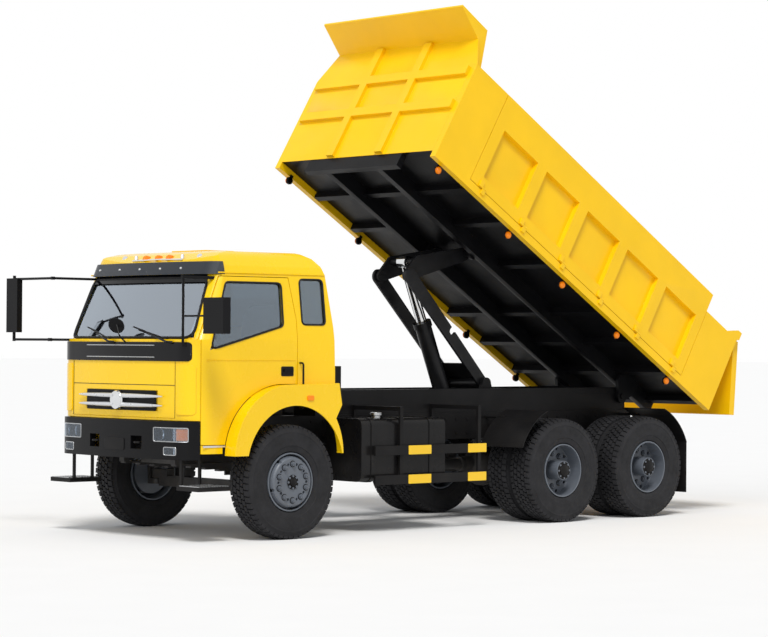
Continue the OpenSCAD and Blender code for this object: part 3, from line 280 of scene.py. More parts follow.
def painted(name, colour, rough, metal=0.0, coat=0.0, vary=0.06, patch=1.6, grain=90.0, bump=0.0006,
            dust=0.0, dust_top=1.5, dust_colour=(0.36, 0.31, 0.25), streak=1.0, specular=0.5):
    """A surface whose colour, gloss and dust vary over the truck's own metres."""
    mat = bpy.data.materials.new(name)
    mat.use_nodes = True
    nodes, links = mat.node_tree.nodes, mat.node_tree.links
    shader = nodes["Principled BSDF"]
    shader.inputs["Metallic"].default_value = metal
    shader.inputs["Coat Weight"].default_value = coat
    shader.inputs["Coat Roughness"].default_value = 0.08
    shader.inputs["Specular IOR Level"].default_value = specular
    place = nodes.new("ShaderNodeTexCoord").outputs["Object"]

    def noise(scale, detail=3.0, stretch=1.0):
        mapping = nodes.new("ShaderNodeMapping")
        mapping.inputs["Scale"].default_value = (1, 1, stretch)
        texture = nodes.new("ShaderNodeTexNoise")
        texture.inputs["Scale"].default_value = scale
        texture.inputs["Detail"].default_value = detail
        links.new(place, mapping.inputs["Vector"])
        links.new(mapping.outputs[0], texture.inputs["Vector"])
        return texture.outputs["Fac"]

    def spread(value, low, high, start=0.3, end=0.7):
        span = nodes.new("ShaderNodeMapRange")
        for socket, number in zip(("From Min", "From Max", "To Min", "To Max"), (start, end, low, high)):
            span.inputs[socket].default_value = number
        links.new(value, span.inputs["Value"])
        return span.outputs[0]

    def mix(factor, a, b):
        blend = nodes.new("ShaderNodeMix")
        blend.data_type = "RGBA"
        links.new(factor, blend.inputs["Factor"])
        for socket, value in ((blend.inputs[6], a), (blend.inputs[7], b)):
            if isinstance(value, tuple):
                socket.default_value = (*value, 1)
            else:
                links.new(value, socket)
        return blend.outputs[2]

    darker = tuple(c * (1 - vary) for c in colour)
    lighter = tuple(min(1, c * (1 + vary)) for c in colour)
    tone = mix(spread(noise(patch, 4, streak), 0, 1), darker, lighter)
    gloss = spread(noise(grain / 9, 3), max(0.02, rough * 0.86), min(1, rough * 1.16))
    if dust:
        height = nodes.new("ShaderNodeSeparateXYZ")
        links.new(place, height.inputs[0])
        low = spread(height.outputs["Z"], 1, 0.12, 0.25, dust_top)
        cover = nodes.new("ShaderNodeMath")
        cover.operation = "MULTIPLY"
        links.new(low, cover.inputs[0])
        links.new(spread(noise(5.5, 6, streak), dust * 0.25, dust * 1.3), cover.inputs[1])
        tone = mix(cover.outputs[0], tone, dust_colour)
        dull = nodes.new("ShaderNodeMath")
        dull.operation = "MULTIPLY_ADD"
        dull.use_clamp = True
        links.new(cover.outputs[0], dull.inputs[0])
        dull.inputs[1].default_value = 0.5
        links.new(gloss, dull.inputs[2])
        gloss = dull.outputs[0]
    links.new(tone, shader.inputs["Base Color"])
    links.new(gloss, shader.inputs["Roughness"])
    relief = nodes.new("ShaderNodeBump")
    relief.inputs["Distance"].default_value = bump
    relief.inputs["Strength"].default_value = 0.5
    links.new(noise(grain, 4), relief.inputs["Height"])
    links.new(relief.outputs[0], shader.inputs["Normal"])
    return mat


# %% The truck's finishes
CAB_YELLOW = (0.91, 0.575, 0.0008)
cab_paint = painted("cab_gloss_yellow", CAB_YELLOW, 0.26, coat=0.25, vary=0.02, grain=60, bump=0.0003, specular=0.3)
# The bed's yellow is a little deeper and more orange than the cab's, set to match the bed's side in shadow: painted
# shade.
bed_paint = painted("bed_welded_yellow", (0.91, 0.545, 0.0008), 0.38, coat=0.08, vary=0.04, patch=2.2,
                    grain=45, bump=0.0012, specular=0.3)
frame_black = painted("frame_black", (0.006, 0.006, 0.0068), 0.40, vary=0.3, grain=70, bump=0.0008, dust=0.02, specular=0.12)
# Near-black for the bed floor's underside: painted shade for the shade under the raised bed.
painted_shade_underside = painted("bed_underside_black", (0.004, 0.004, 0.0048), 0.40, vary=0.4, grain=30, bump=0.0015, specular=0.14)
cast_dark = painted("cast_axle_black", (0.016, 0.016, 0.017), 0.55, vary=0.4, grain=160, bump=0.002, dust=0.08)
spring_dark = painted("spring_leaf_black", (0.02, 0.02, 0.022), 0.5, metal=0.3, vary=0.4, grain=120, dust=0.06)
tyre_rubber = painted("tyre_rubber", (0.018, 0.018, 0.020), 0.68, vary=0.25, patch=6, grain=260, bump=0.0008,
                      dust=0.03, dust_top=0.6, dust_colour=(0.10, 0.095, 0.09), specular=0.2)
wheel_paint = painted("wheel_slate_paint", (0.105, 0.120, 0.145), 0.40, vary=0.10, patch=5, grain=120, dust=0.03,
                      dust_top=0.9)
dark_trim = painted("charcoal_trim", (0.005, 0.005, 0.0058), 0.34, vary=0.14, grain=600, bump=0.0004, specular=0.12)
slate_trim = painted("slate_trim", (0.020, 0.024, 0.031), 0.40, vary=0.1, grain=700, bump=0.0005, specular=0.3)
tank_black = painted("tank_black", (0.006, 0.006, 0.0068), 0.28, coat=0.05, vary=0.25, grain=60, dust=0.02, specular=0.15)
hoist_black = painted("hoist_black", (0.008, 0.008, 0.009), 0.38, vary=0.5, patch=6, grain=80, bump=0.001, specular=0.2)
chrome = painted("chrome", (0.72, 0.73, 0.74), 0.08, metal=1.0, vary=0.03, grain=40, bump=0.0001)
satin_metal = painted("satin_metal", (0.50, 0.51, 0.52), 0.28, metal=1.0, vary=0.06, grain=200, bump=0.0002)
cloth_grey = painted("seat_cloth", (0.085, 0.09, 0.105), 0.92, vary=0.18, patch=18, grain=900, bump=0.001)
print(len(bpy.data.materials), "finishes")

# %% [markdown]
# ## Glass
# Cab glass is laminated and lightly tinted: from outside it shows the sky and, under it, the
# seats. A solid pane with real refraction doubles every edge and is slow, so the pane mixes a
# clear pass with a gloss by Fresnel, which needs no path through the solid.

# %% Glass and lamp lenses


def clear_glass(name, tint, gloss, haze):
    """Tinted see-through glass whose reflection grows at a glancing angle."""
    mat = bpy.data.materials.new(name)
    mat.use_nodes = True
    nodes, links = mat.node_tree.nodes, mat.node_tree.links
    nodes.remove(nodes["Principled BSDF"])
    see = nodes.new("ShaderNodeBsdfTransparent")
    see.inputs["Color"].default_value = (*tint, 1)
    shine = nodes.new("ShaderNodeBsdfGlossy")
    shine.inputs["Color"].default_value = (0.80, 0.89, 1.0, 1)
    shine.inputs["Roughness"].default_value = haze
    fresnel = nodes.new("ShaderNodeFresnel")
    fresnel.inputs["IOR"].default_value = 1.5
    more = nodes.new("ShaderNodeMath")
    more.operation = "ADD"
    more.use_clamp = True
    more.inputs[1].default_value = gloss
    wave = nodes.new("ShaderNodeTexNoise")
    wave.inputs["Scale"].default_value = 1.2
    relief = nodes.new("ShaderNodeBump")
    relief.inputs["Distance"].default_value = 0.004
    relief.inputs["Strength"].default_value = 0.15
    links.new(nodes.new("ShaderNodeTexCoord").outputs["Object"], wave.inputs["Vector"])
    links.new(wave.outputs["Fac"], relief.inputs["Height"])
    links.new(relief.outputs[0], shine.inputs["Normal"])
    blend = nodes.new("ShaderNodeMixShader")
    links.new(fresnel.outputs[0], more.inputs[0])
    links.new(more.outputs[0], blend.inputs[0])
    links.new(see.outputs[0], blend.inputs[1])
    links.new(shine.outputs[0], blend.inputs[2])
    links.new(blend.outputs[0], nodes["Material Output"].inputs["Surface"])
    return mat


window_glass = clear_glass("window_glass", (0.62, 0.68, 0.70), 0.10, 0.02)
screen_glass = clear_glass("screen_glass", (0.66, 0.72, 0.75), 0.34, 0.03)
lens_clear = clear_glass("lens_clear", (0.93, 0.95, 0.97), 0.06, 0.03)
amber_lens = painted("amber_lens", (0.95, 0.24, 0.002), 0.2, coat=0.15, vary=0.06, grain=300, bump=0.0006, specular=0.25)
red_lens = painted("red_lens", (0.50, 0.010, 0.006), 0.2, coat=0.15, vary=0.06, grain=300, bump=0.0006, specular=0.25)

# %% [markdown]
# ## Plain nodes with rounded edges
# The CAD pieces that already have their real shape are copied, not moved: the copy's loose
# triangles are merged, flat areas are joined again, and every hard edge gets the small radius
# that pressed and welded steel has. The copy then stands for its node.

# %% Refine a CAD node


def refine(node, finish, bevel=0.004, segments=2, flat=0.4):
    """A copy of a CAD node with clean faces and softened edges stands for it."""
    source = frame["nodes"][node]
    bm = bmesh.new()
    bm.from_mesh(source.data)
    bmesh.ops.remove_doubles(bm, verts=bm.verts, dist=2e-5)
    bmesh.ops.dissolve_limit(bm, angle_limit=math.radians(flat), verts=bm.verts, edges=bm.edges)
    return bake(bm, node + "_shape", finish, source["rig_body"], bevel, segments, (node,))


slots = {row["node"]: row["material_slot"] for row in frame["record"]["subparts"]}
finish_of_slot = {
    "frame_black": frame_black, "cast_steel": cast_dark, "spring_steel": spring_dark,
    "tyre_rubber": tyre_rubber, "wheel_paint": wheel_paint, "cab_paint": cab_paint,
    "bed_paint": bed_paint, "window_glass": window_glass, "cab_plastic": slate_trim,
    "black_plastic": dark_trim, "lamp_lens": satin_metal, "seat_cloth": cloth_grey,
    "tank_paint": tank_black, "hoist_paint": hoist_black, "polished_rod": chrome,
}
edge_radius = {
    "cab_body": 0.012, "cab_roof": 0.030, "left_door": 0.008, "right_door": 0.008, "grille_panel": 0.006,
    "front_fenders": 0.008, "bumper": 0.014, "sun_visor": 0.008, "seats": 0.025, "dashboard": 0.02,
    "fuel_tank": 0.012, "engine_block": 0.02, "cab_glass": 0, "left_door_glass": 0, "right_door_glass": 0,
    "mirrors": 0.012, "bed_front_wall": 0.003, "bed_floor": 0.002,
}
made_by_hand = [n for n in frame["nodes"] if "tyre" in n] + ["headlamps", "seats"]
for node in frame["nodes"]:
    if node not in made_by_hand:
        shape = refine(node, finish_of_slot[slots[node]], edge_radius.get(node, 0.004))
        if node == "cab_glass":
            shape.data.materials.append(screen_glass)
            for face in shape.data.polygons:
                face.material_index = int(face.center.x > front_hub.x)
        # Faces under the bed floor take the near-black finish: painted shade under the raised bed.
        if node == "bed_floor":
            shape.data.materials.append(painted_shade_underside)
            turn = BED.inverted()
            for face in shape.data.polygons:
                middle = turn @ face.center
                face.material_index = int(middle.z < 0.258 and abs(middle.y) < 1.128)
print("refined", len(frame["nodes"]) - len(made_by_hand), "nodes")

# %% [markdown]
# ## One node tree for all that repeats
# Wheel nuts, tread blocks, grille slats, rivets and step cleats are one small shape made again and
# again. A Geometry Nodes tree does it once for all of them: copy number i is moved by i steps and
# turned by i turns, so a row has a step and no turn, and a ring has a turn and no step.

# %% The repeating tree
TREE_INPUTS = {"Part": "Object", "Count": "Int", "Centre": "Vector", "Step": "Vector", "Turn": "Vector",
               "Finish": "Material"}


def repeating_tree():
    tree = bpy.data.node_groups.new("repeats", "GeometryNodeTree")
    tree.interface.new_socket("Geometry", in_out="INPUT", socket_type="NodeSocketGeometry")
    for name, kind in TREE_INPUTS.items():
        tree.interface.new_socket(name, in_out="INPUT", socket_type="NodeSocket" + kind)
    tree.interface.new_socket("Geometry", in_out="OUTPUT", socket_type="NodeSocketGeometry")
    node, link = tree.nodes.new, tree.links.new
    given, made = node("NodeGroupInput"), node("NodeGroupOutput")
    index = node("GeometryNodeInputIndex")

    def times(vector):
        scale = node("ShaderNodeVectorMath")
        scale.operation = "SCALE"
        link(vector, scale.inputs[0])
        link(index.outputs[0], scale.inputs["Scale"])
        return scale.outputs[0]

    points, place = node("GeometryNodePoints"), node("GeometryNodeSetPosition")
    link(given.outputs["Count"], points.inputs["Count"])
    link(points.outputs[0], place.inputs["Geometry"])
    where = node("ShaderNodeVectorMath")
    link(given.outputs["Centre"], where.inputs[0])
    link(times(given.outputs["Step"]), where.inputs[1])
    link(where.outputs[0], place.inputs["Position"])
    part, copies = node("GeometryNodeObjectInfo"), node("GeometryNodeInstanceOnPoints")
    link(given.outputs["Part"], part.inputs["Object"])
    link(place.outputs[0], copies.inputs["Points"])
    link(part.outputs["Geometry"], copies.inputs["Instance"])
    link(times(given.outputs["Turn"]), copies.inputs["Rotation"])
    solid, finish = node("GeometryNodeRealizeInstances"), node("GeometryNodeSetMaterial")
    link(copies.outputs[0], solid.inputs[0])
    link(solid.outputs[0], finish.inputs["Geometry"])
    link(given.outputs["Finish"], finish.inputs["Material"])
    link(finish.outputs[0], made.inputs[0])
    return tree


REPEATS = repeating_tree()


def repeated(name, part, count, finish, body, slot, centre=(0, 0, 0), step=(0, 0, 0), turn=(0, 0, 0),
             mirror=False, bevel=0.0, at=TRUCK):
    """Bakes count copies of a Shape, each a step and a turn further, as one piece."""
    bmesh.ops.recalc_face_normals(part.bm, faces=part.bm.faces)
    mesh = bpy.data.meshes.new(name + "_part")
    part.bm.to_mesh(mesh)
    part.bm.free()
    single = bpy.data.objects.new(name + "_part", mesh)
    host = bpy.data.objects.new(name + "_host", bpy.data.meshes.new(name + "_host"))
    for obj in (single, host):
        bpy.context.scene.collection.objects.link(obj)
    mod = host.modifiers.new("Repeats", "NODES")
    mod.node_group = REPEATS
    values = {"Part": single, "Count": count, "Centre": centre, "Step": step, "Turn": turn, "Finish": finish}
    for item in REPEATS.interface.items_tree:
        if item.in_out == "INPUT" and item.name in values:
            mod[item.identifier] = values[item.name]
    graph = bpy.context.evaluated_depsgraph_get()
    result = bpy.data.meshes.new_from_object(host.evaluated_get(graph))
    for obj in (single, host):
        bpy.data.objects.remove(obj)
    shape = Shape(at)
    shape.bm.from_mesh(result)
    if mirror:
        shape.mirrored()
    return shape.piece(name, finish, body, slot, bevel, 1)


# %% [markdown]
# ## Tyres
# A truck tyre is a stiff carcass with flat sides that swell towards the road, and a tread whose
# blocks carry the load. The carcass is a profile spun round the axle. The tread is one pitch of
# five blocks, repeated round the tyre, and the grooves between them are real gaps.

# %% Tyres with tread blocks
TYRE_R, TYRE_HALF, TREAD_PITCHES, TREAD_BASE = 0.5266, 0.139, 54, 0.506
CARCASS = [(0.100, 0.272), (0.119, 0.282), (0.127, 0.305), (0.1300, 0.332), (0.1345, 0.335), (0.1345, 0.343),
           (0.1335, 0.347), (0.1385, 0.395), (0.1390, 0.420), (0.1375, 0.450), (0.1400, 0.453), (0.1400, 0.462),
           (0.1360, 0.466), (0.1310, 0.487), (0.1230, 0.500), (0.1080, TREAD_BASE), (0.0400, TREAD_BASE + 0.001)]


def tread_pitch(middles):
    """One pitch of tread at the top of the tyre, for each tyre on the body."""
    shape = Shape(TRUCK)
    reach = math.pi * TYRE_R / TREAD_PITCHES
    for y in middles:
        for lo, hi, shift, skew in ((-0.021, 0.021, 0, 0.007), (0.030, 0.068, reach, 0.006), (-0.068, -0.030, reach, 0.006),
                                    (0.077, 0.127, 0, 0.004), (-0.127, -0.077, 0, -0.004)):
            wide = reach * 0.80
            ring = [(shift - wide - skew, y + lo), (shift + wide - skew, y + lo), (shift + wide + skew, y + hi),
                    (shift - wide + skew, y + hi)]
            top = [TYRE_R - (0.010 if abs(v - y) > 0.12 else 0) for _, v in ring]
            shape.shell([[(x, v, TREAD_BASE - 0.012) for x, v in ring],
                         [(x * 0.96, v, z) for (x, v), z in zip(ring, top)]])
    return shape


wheel_rows = {}
for side, sign in (("left", 1), ("right", -1)):
    for axle in ("front", "middle", "rear"):
        front = axle == "front"
        node = f"{axle}_{side}_tyre" + ("" if front else "s")
        low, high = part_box(node)
        middles = [(low[1] + high[1]) / 2] if front else [low[1] + TYRE_HALF, high[1] - TYRE_HALF]
        body = f"{axle}_{side}_" + ("road_wheel" if front else "twins")
        hub = pivot(f"{axle}_{side}_spin") - TRUCK.translation
        wheel_rows[body] = (hub, middles, sign, front)
        carcass = Shape(TRUCK)
        for y in middles:
            profile = CARCASS + [(-a, r) for a, r in reversed(CARCASS)]
            carcass.turned(profile, (hub.x, y, hub.z), steps=112)
        carcass.piece(f"{axle}_{side}_carcass", tyre_rubber, body, "tyre_rubber", 0, 1, (node,))
        repeated(f"{axle}_{side}_tread", tread_pitch(middles), TREAD_PITCHES, tyre_rubber, body, "tyre_rubber",
                 centre=(hub.x, 0, hub.z), turn=(0, 2 * math.pi / TREAD_PITCHES, 0))

# %% [markdown]
# ## Wheel nuts and hubs
# Ten nuts hold each disc. They sit on the stud circle, proud of the disc, with the stud's end
# showing. The hub in the middle has a flange of smaller bolts round a domed cap.

# %% Nuts, hub bolts and caps
STUD_RING, NUT_HALF = 0.1675, 0.0185


def hexagon(cx, cz, half):
    return [(cx + half * 1.155 * math.cos(math.radians(a)), cz + half * 1.155 * math.sin(math.radians(a)))
            for a in range(0, 360, 60)]


for body, (hub, middles, sign, front) in wheel_rows.items():
    outer = max(middles, key=abs)
    face = outer + sign * (0.148 if front else -0.040)
    nut = Shape(TRUCK)
    nut.turned([(0, 0), (0, 0.024), (0.007 * sign, 0.024), (0.007 * sign, 0)], (0, face, STUD_RING), steps=16)
    nut.prism(hexagon(0, STUD_RING, NUT_HALF), *sorted((face + sign * 0.005, face + sign * 0.026)))
    nut.prism(arc(0, STUD_RING, 0.009, 0, 330, 11), *sorted((face + sign * 0.02, face + sign * 0.036)))
    name = body.replace("_road_wheel", "").replace("_twins", "")
    # A thin black disc under each nut stands for the dark ring of shade round it on the wheel disc: painted shade.
    seat = Shape(TRUCK).turned([(0, 0.0), (0, 0.031), (0.003 * sign, 0.031), (0.003 * sign, 0.0)], (0, face, STUD_RING), steps=24)
    repeated(name + "_nut_seats", seat, 10, frame_black, body, "wheel_paint", centre=(hub.x, 0, hub.z),
             turn=(0, math.pi / 5, 0))
    repeated(name + "_wheel_nuts", nut, 10, wheel_paint, body, "wheel_paint", centre=(hub.x, 0, hub.z),
             turn=(0, math.pi / 5, 0), bevel=0.0012)
    end = outer + sign * (0.150 if front else 0.128)
    ring = 0.056 if front else 0.078
    bolt = Shape(TRUCK).prism(hexagon(0, ring, 0.0095), *sorted((end - sign * 0.004, end + sign * 0.011)))
    repeated(name + "_hub_bolts", bolt, 8, wheel_paint, body, "wheel_paint", centre=(hub.x, 0, hub.z),
             turn=(0, math.pi / 4, 0))
    cap = Shape(TRUCK)
    reach = ring - 0.016
    dome = [(-0.01, 0), (-0.01, reach + 0.028), (0.003, reach + 0.028), (0.004, reach), (0.016, reach - 0.004),
            (0.022, reach - 0.014), (0.024, 0)]
    cap.turned([(a * sign, r) for a, r in dome], (hub.x, end, hub.z), steps=40)
    cap.piece(name + "_hub_cap", frame_black, body, "wheel_paint", 0.001, 1)
print("10 nuts and 8 bolts on each of", len(wheel_rows))

# %% [markdown]
# ## The cab's surface as two rules
# The cab's face is bowed and turns round its corners, and its sides close in towards the nose.
# Trim has to lie on that surface, so its place is worked out from the same rules as the panels:
# `face_x` gives the front at a height, and `side_y` the side. A panel is a grid laid on the rule
# and given a thickness, and a seal is a pipe that runs along it.

# %% Surface rules and laid panels
BELT_Z, GUTTER_Z = 1.830, 2.440
CAB_HALF, CAB_FRONT, CAB_REAR = 1.120, 1.095, 0.568
TAPER, CORNER_R, NOSE_HALF = math.radians(3.3), 0.230, 1.03997
SCREEN_FOOT_X, SCREEN_HEAD_X = 1.065, 0.800
RAKE = math.atan((SCREEN_FOOT_X - SCREEN_HEAD_X) / (GUTTER_Z - BELT_Z))


def nose_x(y, front, bow, half, radius):
    flat = half - radius
    if abs(y) <= flat:
        return front - bow * (y / flat) ** 2
    return front - bow - radius + math.sqrt(max(0, radius ** 2 - (abs(y) - flat) ** 2))


def on_face(y, z, lift):
    if z <= BELT_Z:
        return (nose_x(y, CAB_FRONT, 0.045, NOSE_HALF, CORNER_R) + lift, y, z)
    plan = nose_x(y, 0, 0.060, NOSE_HALF, CORNER_R)
    return (SCREEN_FOOT_X + plan / math.cos(RAKE) - math.tan(RAKE) * (z - BELT_Z) + lift, y, z)


def on_side(x, z, lift):
    lean = 0.075 * min(1, max(0, (z - BELT_Z) / (GUTTER_Z - BELT_Z)))
    return (x, CAB_HALF - math.tan(TAPER) * (x + CAB_REAR) - lean / math.cos(TAPER) + lift, z)


def on_back(y, z, lift):
    return (-CAB_REAR + 0.012 + 0.114 * (z - BELT_Z - 0.12) - lift, y, z)


def on_bumper(y, z, lift):
    return (nose_x(y, CAB_FRONT + 0.055, 0.045, NOSE_HALF - 0.010, 0.260) + lift, y, z)


def laid(shape, place, u0, u1, v0, v1, lift, sink=0.004, r=0.02, steps=18):
    """A round-cornered panel on a surface, from sink below it to lift above it."""
    ends = [u0 + r * (1 - math.cos(math.pi / 2 * i / 5)) for i in range(5)]
    us = ends + [u0 + r + (u1 - u0 - 2 * r) * i / steps for i in range(steps + 1)] + [u0 + u1 - u for u in reversed(ends)]
    rings = []
    for u in us:
        near = max(0, r - min(u - u0, u1 - u))
        trim = r - math.sqrt(max(0, r * r - near * near))
        vs = [v0 + trim + (v1 - v0 - 2 * trim) * k / 4 for k in range(5)]
        rings.append([place(u, v, lift) for v in vs] + [place(u, v, -sink) for v in reversed(vs)])
    shape.shell(rings)
    return shape


def looped(corners, radius, place, lift=0.0, step=0.07):
    """A closed path on a surface, with its corners rounded."""
    start = (Vector(corners[0]) + Vector(corners[-1])) / 2
    path = bent([start, *corners, start], radius)
    dense = []
    for a, b in zip(path, path[1:]):
        parts = max(1, math.ceil((b - a).length / step))
        dense += [a.lerp(b, i / parts) for i in range(parts)]
    return [place(p.x, p.y, lift) for p in (*dense, path[-1])]


print("face at the belt", [round(v, 3) for v in on_face(0, BELT_Z, 0)])

# %% [markdown]
# ## Rubber seals and shut lines
# Each window sits in a rubber moulding, which is the dark line that draws the cab's face. It is a
# pipe along the edge of the opening. The grille flap's shut lines are thin dark pipes sunk to
# their middle, so they read as gaps.

# %% Seals
rubber_seal = painted("seal_rubber", (0.012, 0.012, 0.013), 0.55, vary=0.2, grain=400, bump=0.0003, specular=0.15)
gloss_black = painted("gloss_black", (0.004, 0.004, 0.005), 0.10, coat=0.12, vary=0.1, grain=30, bump=0.0001, specular=0.15)
seals = Shape(TRUCK)
screen = [(-0.925, BELT_Z + 0.015), (0.925, BELT_Z + 0.015), (0.865, GUTTER_Z - 0.045), (-0.865, GUTTER_Z - 0.045)]
seals.pipe(looped(screen, 0.09, on_face, 0.002), 0.013, 8)
for sign in (1, -1):
    quarter = [(-0.463, 1.975), (-0.192, 1.975), (-0.192, 2.395), (-0.463, 2.395)]
    seals.pipe([(x, y * sign, z) for x, y, z in looped(quarter, 0.045, on_side, 0.001)], 0.009, 8)
seals.pipe(looped([(-0.48, 1.96), (0.48, 1.96), (0.48, 2.38), (-0.48, 2.38)], 0.05, on_back, 0.001), 0.010, 8)
seals.piece("window_seals", rubber_seal, "chassis", "black_plastic", 0)
for side, sign in (("left", 1), ("right", -1)):
    window = [(0.858, 1.735), (0.645, 2.355), (0.020, 2.355), (0.027, 1.960)]
    path = looped(window, 0.05, on_side, 0.001)
    Shape(TRUCK).pipe([(x, y * sign, z) for x, y, z in path], 0.009, 8).piece(
        side + "_door_seal", rubber_seal, side + "_cab_door", "black_plastic", 0)
shut = Shape(TRUCK)
for y in (-0.780, 0.780):
    shut.pipe([on_face(y, z, 0.0005) for z in (1.12, 1.40, 1.63)], 0.0028, 6)
shut.pipe([on_face(-0.780 + 0.078 * i, 1.415, 0.0005) for i in range(21)], 0.0028, 6)
shut.piece("front_shut_lines", rubber_seal, "chassis", "black_plastic", 0)

# %% [markdown]
# ## The front panel
# Under the windscreen runs a gloss black band with two thin bright strips. Below it the painted
# flap carries the grille: a dark mesh of slats behind two bright bars and a plain round boss.

# %% Gloss band, grille and corner deflectors
band = laid(Shape(TRUCK), on_face, -0.955, 0.955, 1.632, 1.806, 0.012, 0.002, 0.035, 40)
band.piece("screen_band", gloss_black, "chassis", "black_plastic", 0.003)
strips = Shape(TRUCK)
for z in (1.668, 1.776):
    strips.pipe([on_face(-0.52 + 0.052 * i, z, 0.014) for i in range(21)], 0.0045, 6)
strips.piece("band_strips", satin_metal, "chassis", "cab_plastic", 0)
well = laid(Shape(TRUCK), on_face, -0.530, 0.530, 1.178, 1.364, 0.003, 0.002, 0.02, 30)
well.piece("grille_well", rubber_seal, "chassis", "black_plastic", 0)
slat = laid(Shape(TRUCK), on_face, -0.522, 0.522, 1.186, 1.191, 0.012, 0.0, 0.002, 26)
repeated("grille_slats", slat, 9, dark_trim, "chassis", "black_plastic", step=(0, 0, 0.0205))
bar_silver = painted("bar_silver", (0.62, 0.63, 0.65), 0.30, metal=0.6, coat=0.3, vary=0.03, grain=200, bump=0.0002)
bars = Shape(TRUCK)
for z in (1.228, 1.312):
    for sign in (1, -1):
        path = [on_face(sign * y, z, 0.024) for y in (0.05, 0.2, 0.35, 0.48, 0.57, 0.638)]
        bars.pipe(path, [0.022, 0.021, 0.019, 0.016, 0.012, 0.005], 12)
bars.piece("grille_bars", bar_silver, "chassis", "cab_plastic", 0)
boss = Shape(TRUCK)
boss.turned([(-0.015, 0), (-0.015, 0.084), (0.014, 0.090), (0.028, 0.082), (0.020, 0.068), (0.020, 0.050), (0.026, 0.036),
             (0.028, 0)],
            (CAB_FRONT + 0.020, 0, 1.270), (1, 0, 0), 48)
boss.piece("grille_boss", chrome, "chassis", "cab_plastic", 0)
brow = laid(Shape(TRUCK), on_face, -0.850, 0.850, 2.352, 2.425, 0.006, 0.002, 0.02, 30)
brow.piece("brow_band", gloss_black, "chassis", "black_plastic", 0)
corners = laid(Shape(TRUCK), on_face, 0.800, 0.985, 1.150, 1.600, 0.009, 0.002, 0.03, 12).mirrored()
corners.piece("corner_deflectors", cab_paint, "chassis", "cab_paint", 0.004)

# %% [markdown]
# ## Lamps in the bumper
# Behind each clear lens a black housing holds two bright dishes for dipped and main beam and an
# amber indicator at the corner. A dish is a turned shell, so it gathers the light as a real one
# does, and the small fog lamps below are made the same way.

# %% Headlamps and fog lamps
housing, dishes, lenses, indicators, bezels = (Shape(TRUCK) for _ in range(5))
laid(housing, on_bumper, 0.558, 0.949, 0.908, 1.032, -0.038, 0.052, 0.012)
laid(housing, on_bumper, 0.693, 0.847, 0.788, 0.857, -0.034, 0.052, 0.010)
for y, z, r in ((0.625, 0.970, 0.054), (0.752, 0.970, 0.054), (0.770, 0.8225, 0.031)):
    x = on_bumper(y, z, -0.044)[0]
    bowl = [(0, 0), (0.003, r * 0.35), (0.014, r * 0.75), (0.031, r), (0.034, r * 1.04), (0.030, r * 1.06),
            (-0.004, r * 0.5), (-0.004, 0)]
    dishes.turned(bowl, (x, y, z), (1, 0, 0), 40)
    dishes.turned([(0.002, 0), (0.002, 0.008), (0.022, 0.010), (0.027, 0.006), (0.028, 0)], (x, y, z), (1, 0, 0), 16)
laid(indicators, on_bumper, 0.835, 0.940, 0.918, 1.022, -0.016, 0.040, 0.010)
laid(lenses, on_bumper, 0.556, 0.951, 0.906, 1.034, -0.004, 0.008, 0.014)
laid(lenses, on_bumper, 0.691, 0.849, 0.786, 0.859, -0.004, 0.008, 0.010)
for y0, y1, z0, z1 in ((0.558, 0.949, 0.908, 1.032), (0.693, 0.847, 0.788, 0.857)):
    bezels.pipe(looped([(y0, z0), (y1, z0), (y1, z1), (y0, z1)], 0.014, on_bumper, -0.002, 0.03), 0.0045, 8)
housing.mirrored().piece("lamp_housings", gloss_black, "chassis", "lamp_lens", 0, 1, ("headlamps",))
dishes.mirrored().piece("lamp_dishes", chrome, "chassis", "lamp_lens", 0)
indicators.mirrored().piece("corner_indicators", amber_lens, "chassis", "lamp_lens", 0.002)
lenses.mirrored().piece("lamp_lenses", lens_clear, "chassis", "lamp_lens", 0)
bezels.mirrored().piece("lamp_bezels", satin_metal, "chassis", "lamp_lens", 0)
pads = Shape(TRUCK)
laid(pads, on_bumper, -0.150, 0.150, 0.815, 0.925, 0.006, 0.002, 0.02)
for y in (-0.320, 0.320):
    hook = [(CAB_FRONT - 0.02, y, 0.89), (CAB_FRONT + 0.04, y - 0.04, 0.89), (CAB_FRONT + 0.055, y, 0.89),
            (CAB_FRONT + 0.04, y + 0.04, 0.89), (CAB_FRONT - 0.02, y + 0.005, 0.89)]
    pads.pipe(bent(hook, 0.03), 0.010, 8)
pads.piece("plate_carrier_and_hooks", frame_black, "chassis", "black_plastic", 0.003)

# %% [markdown]
# ## Wipers, roof lamps and the look-down mirror
# Two wipers rest across the foot of the glass. On the roof stand three amber marker lamps and a
# chrome rail, and a small round mirror shows the driver the ground before the bumper.

# %% Small things on the cab's front and roof
wipers = Shape(TRUCK)
for (y0, z0), (y1, z1) in (((-0.074, 1.800), (-0.640, 1.935)), ((0.757, 1.800), (0.130, 1.935))):
    spot = [(y0 + (y1 - y0) * t, z0 + (z1 - z0) * t) for t in (0, 0.06, 0.3, 0.6)]
    wipers.pipe([on_face(y, z, d) for (y, z), d in zip(spot, (0.014, 0.050, 0.060, 0.036))], [0.014, 0.010, 0.008, 0.006], 8)
    blade = [(y0 + (y1 - y0) * t, z0 + 0.008 + (z1 - z0) * t) for t in (0.18, 0.4, 0.6, 0.8, 1.0)]
    wipers.pipe([on_face(y, z, 0.026) for y, z in blade], 0.006, 8)
    wipers.pipe([on_face(y, z, 0.014) for y, z in blade], 0.0045, 6)
wipers.piece("wipers", dark_trim, "chassis", "black_plastic", 0)
ROOF_LAMPS = (-0.131, 0.054, 0.222)
roof_x, roof_z = 0.680, 2.585
rail = Shape(TRUCK)
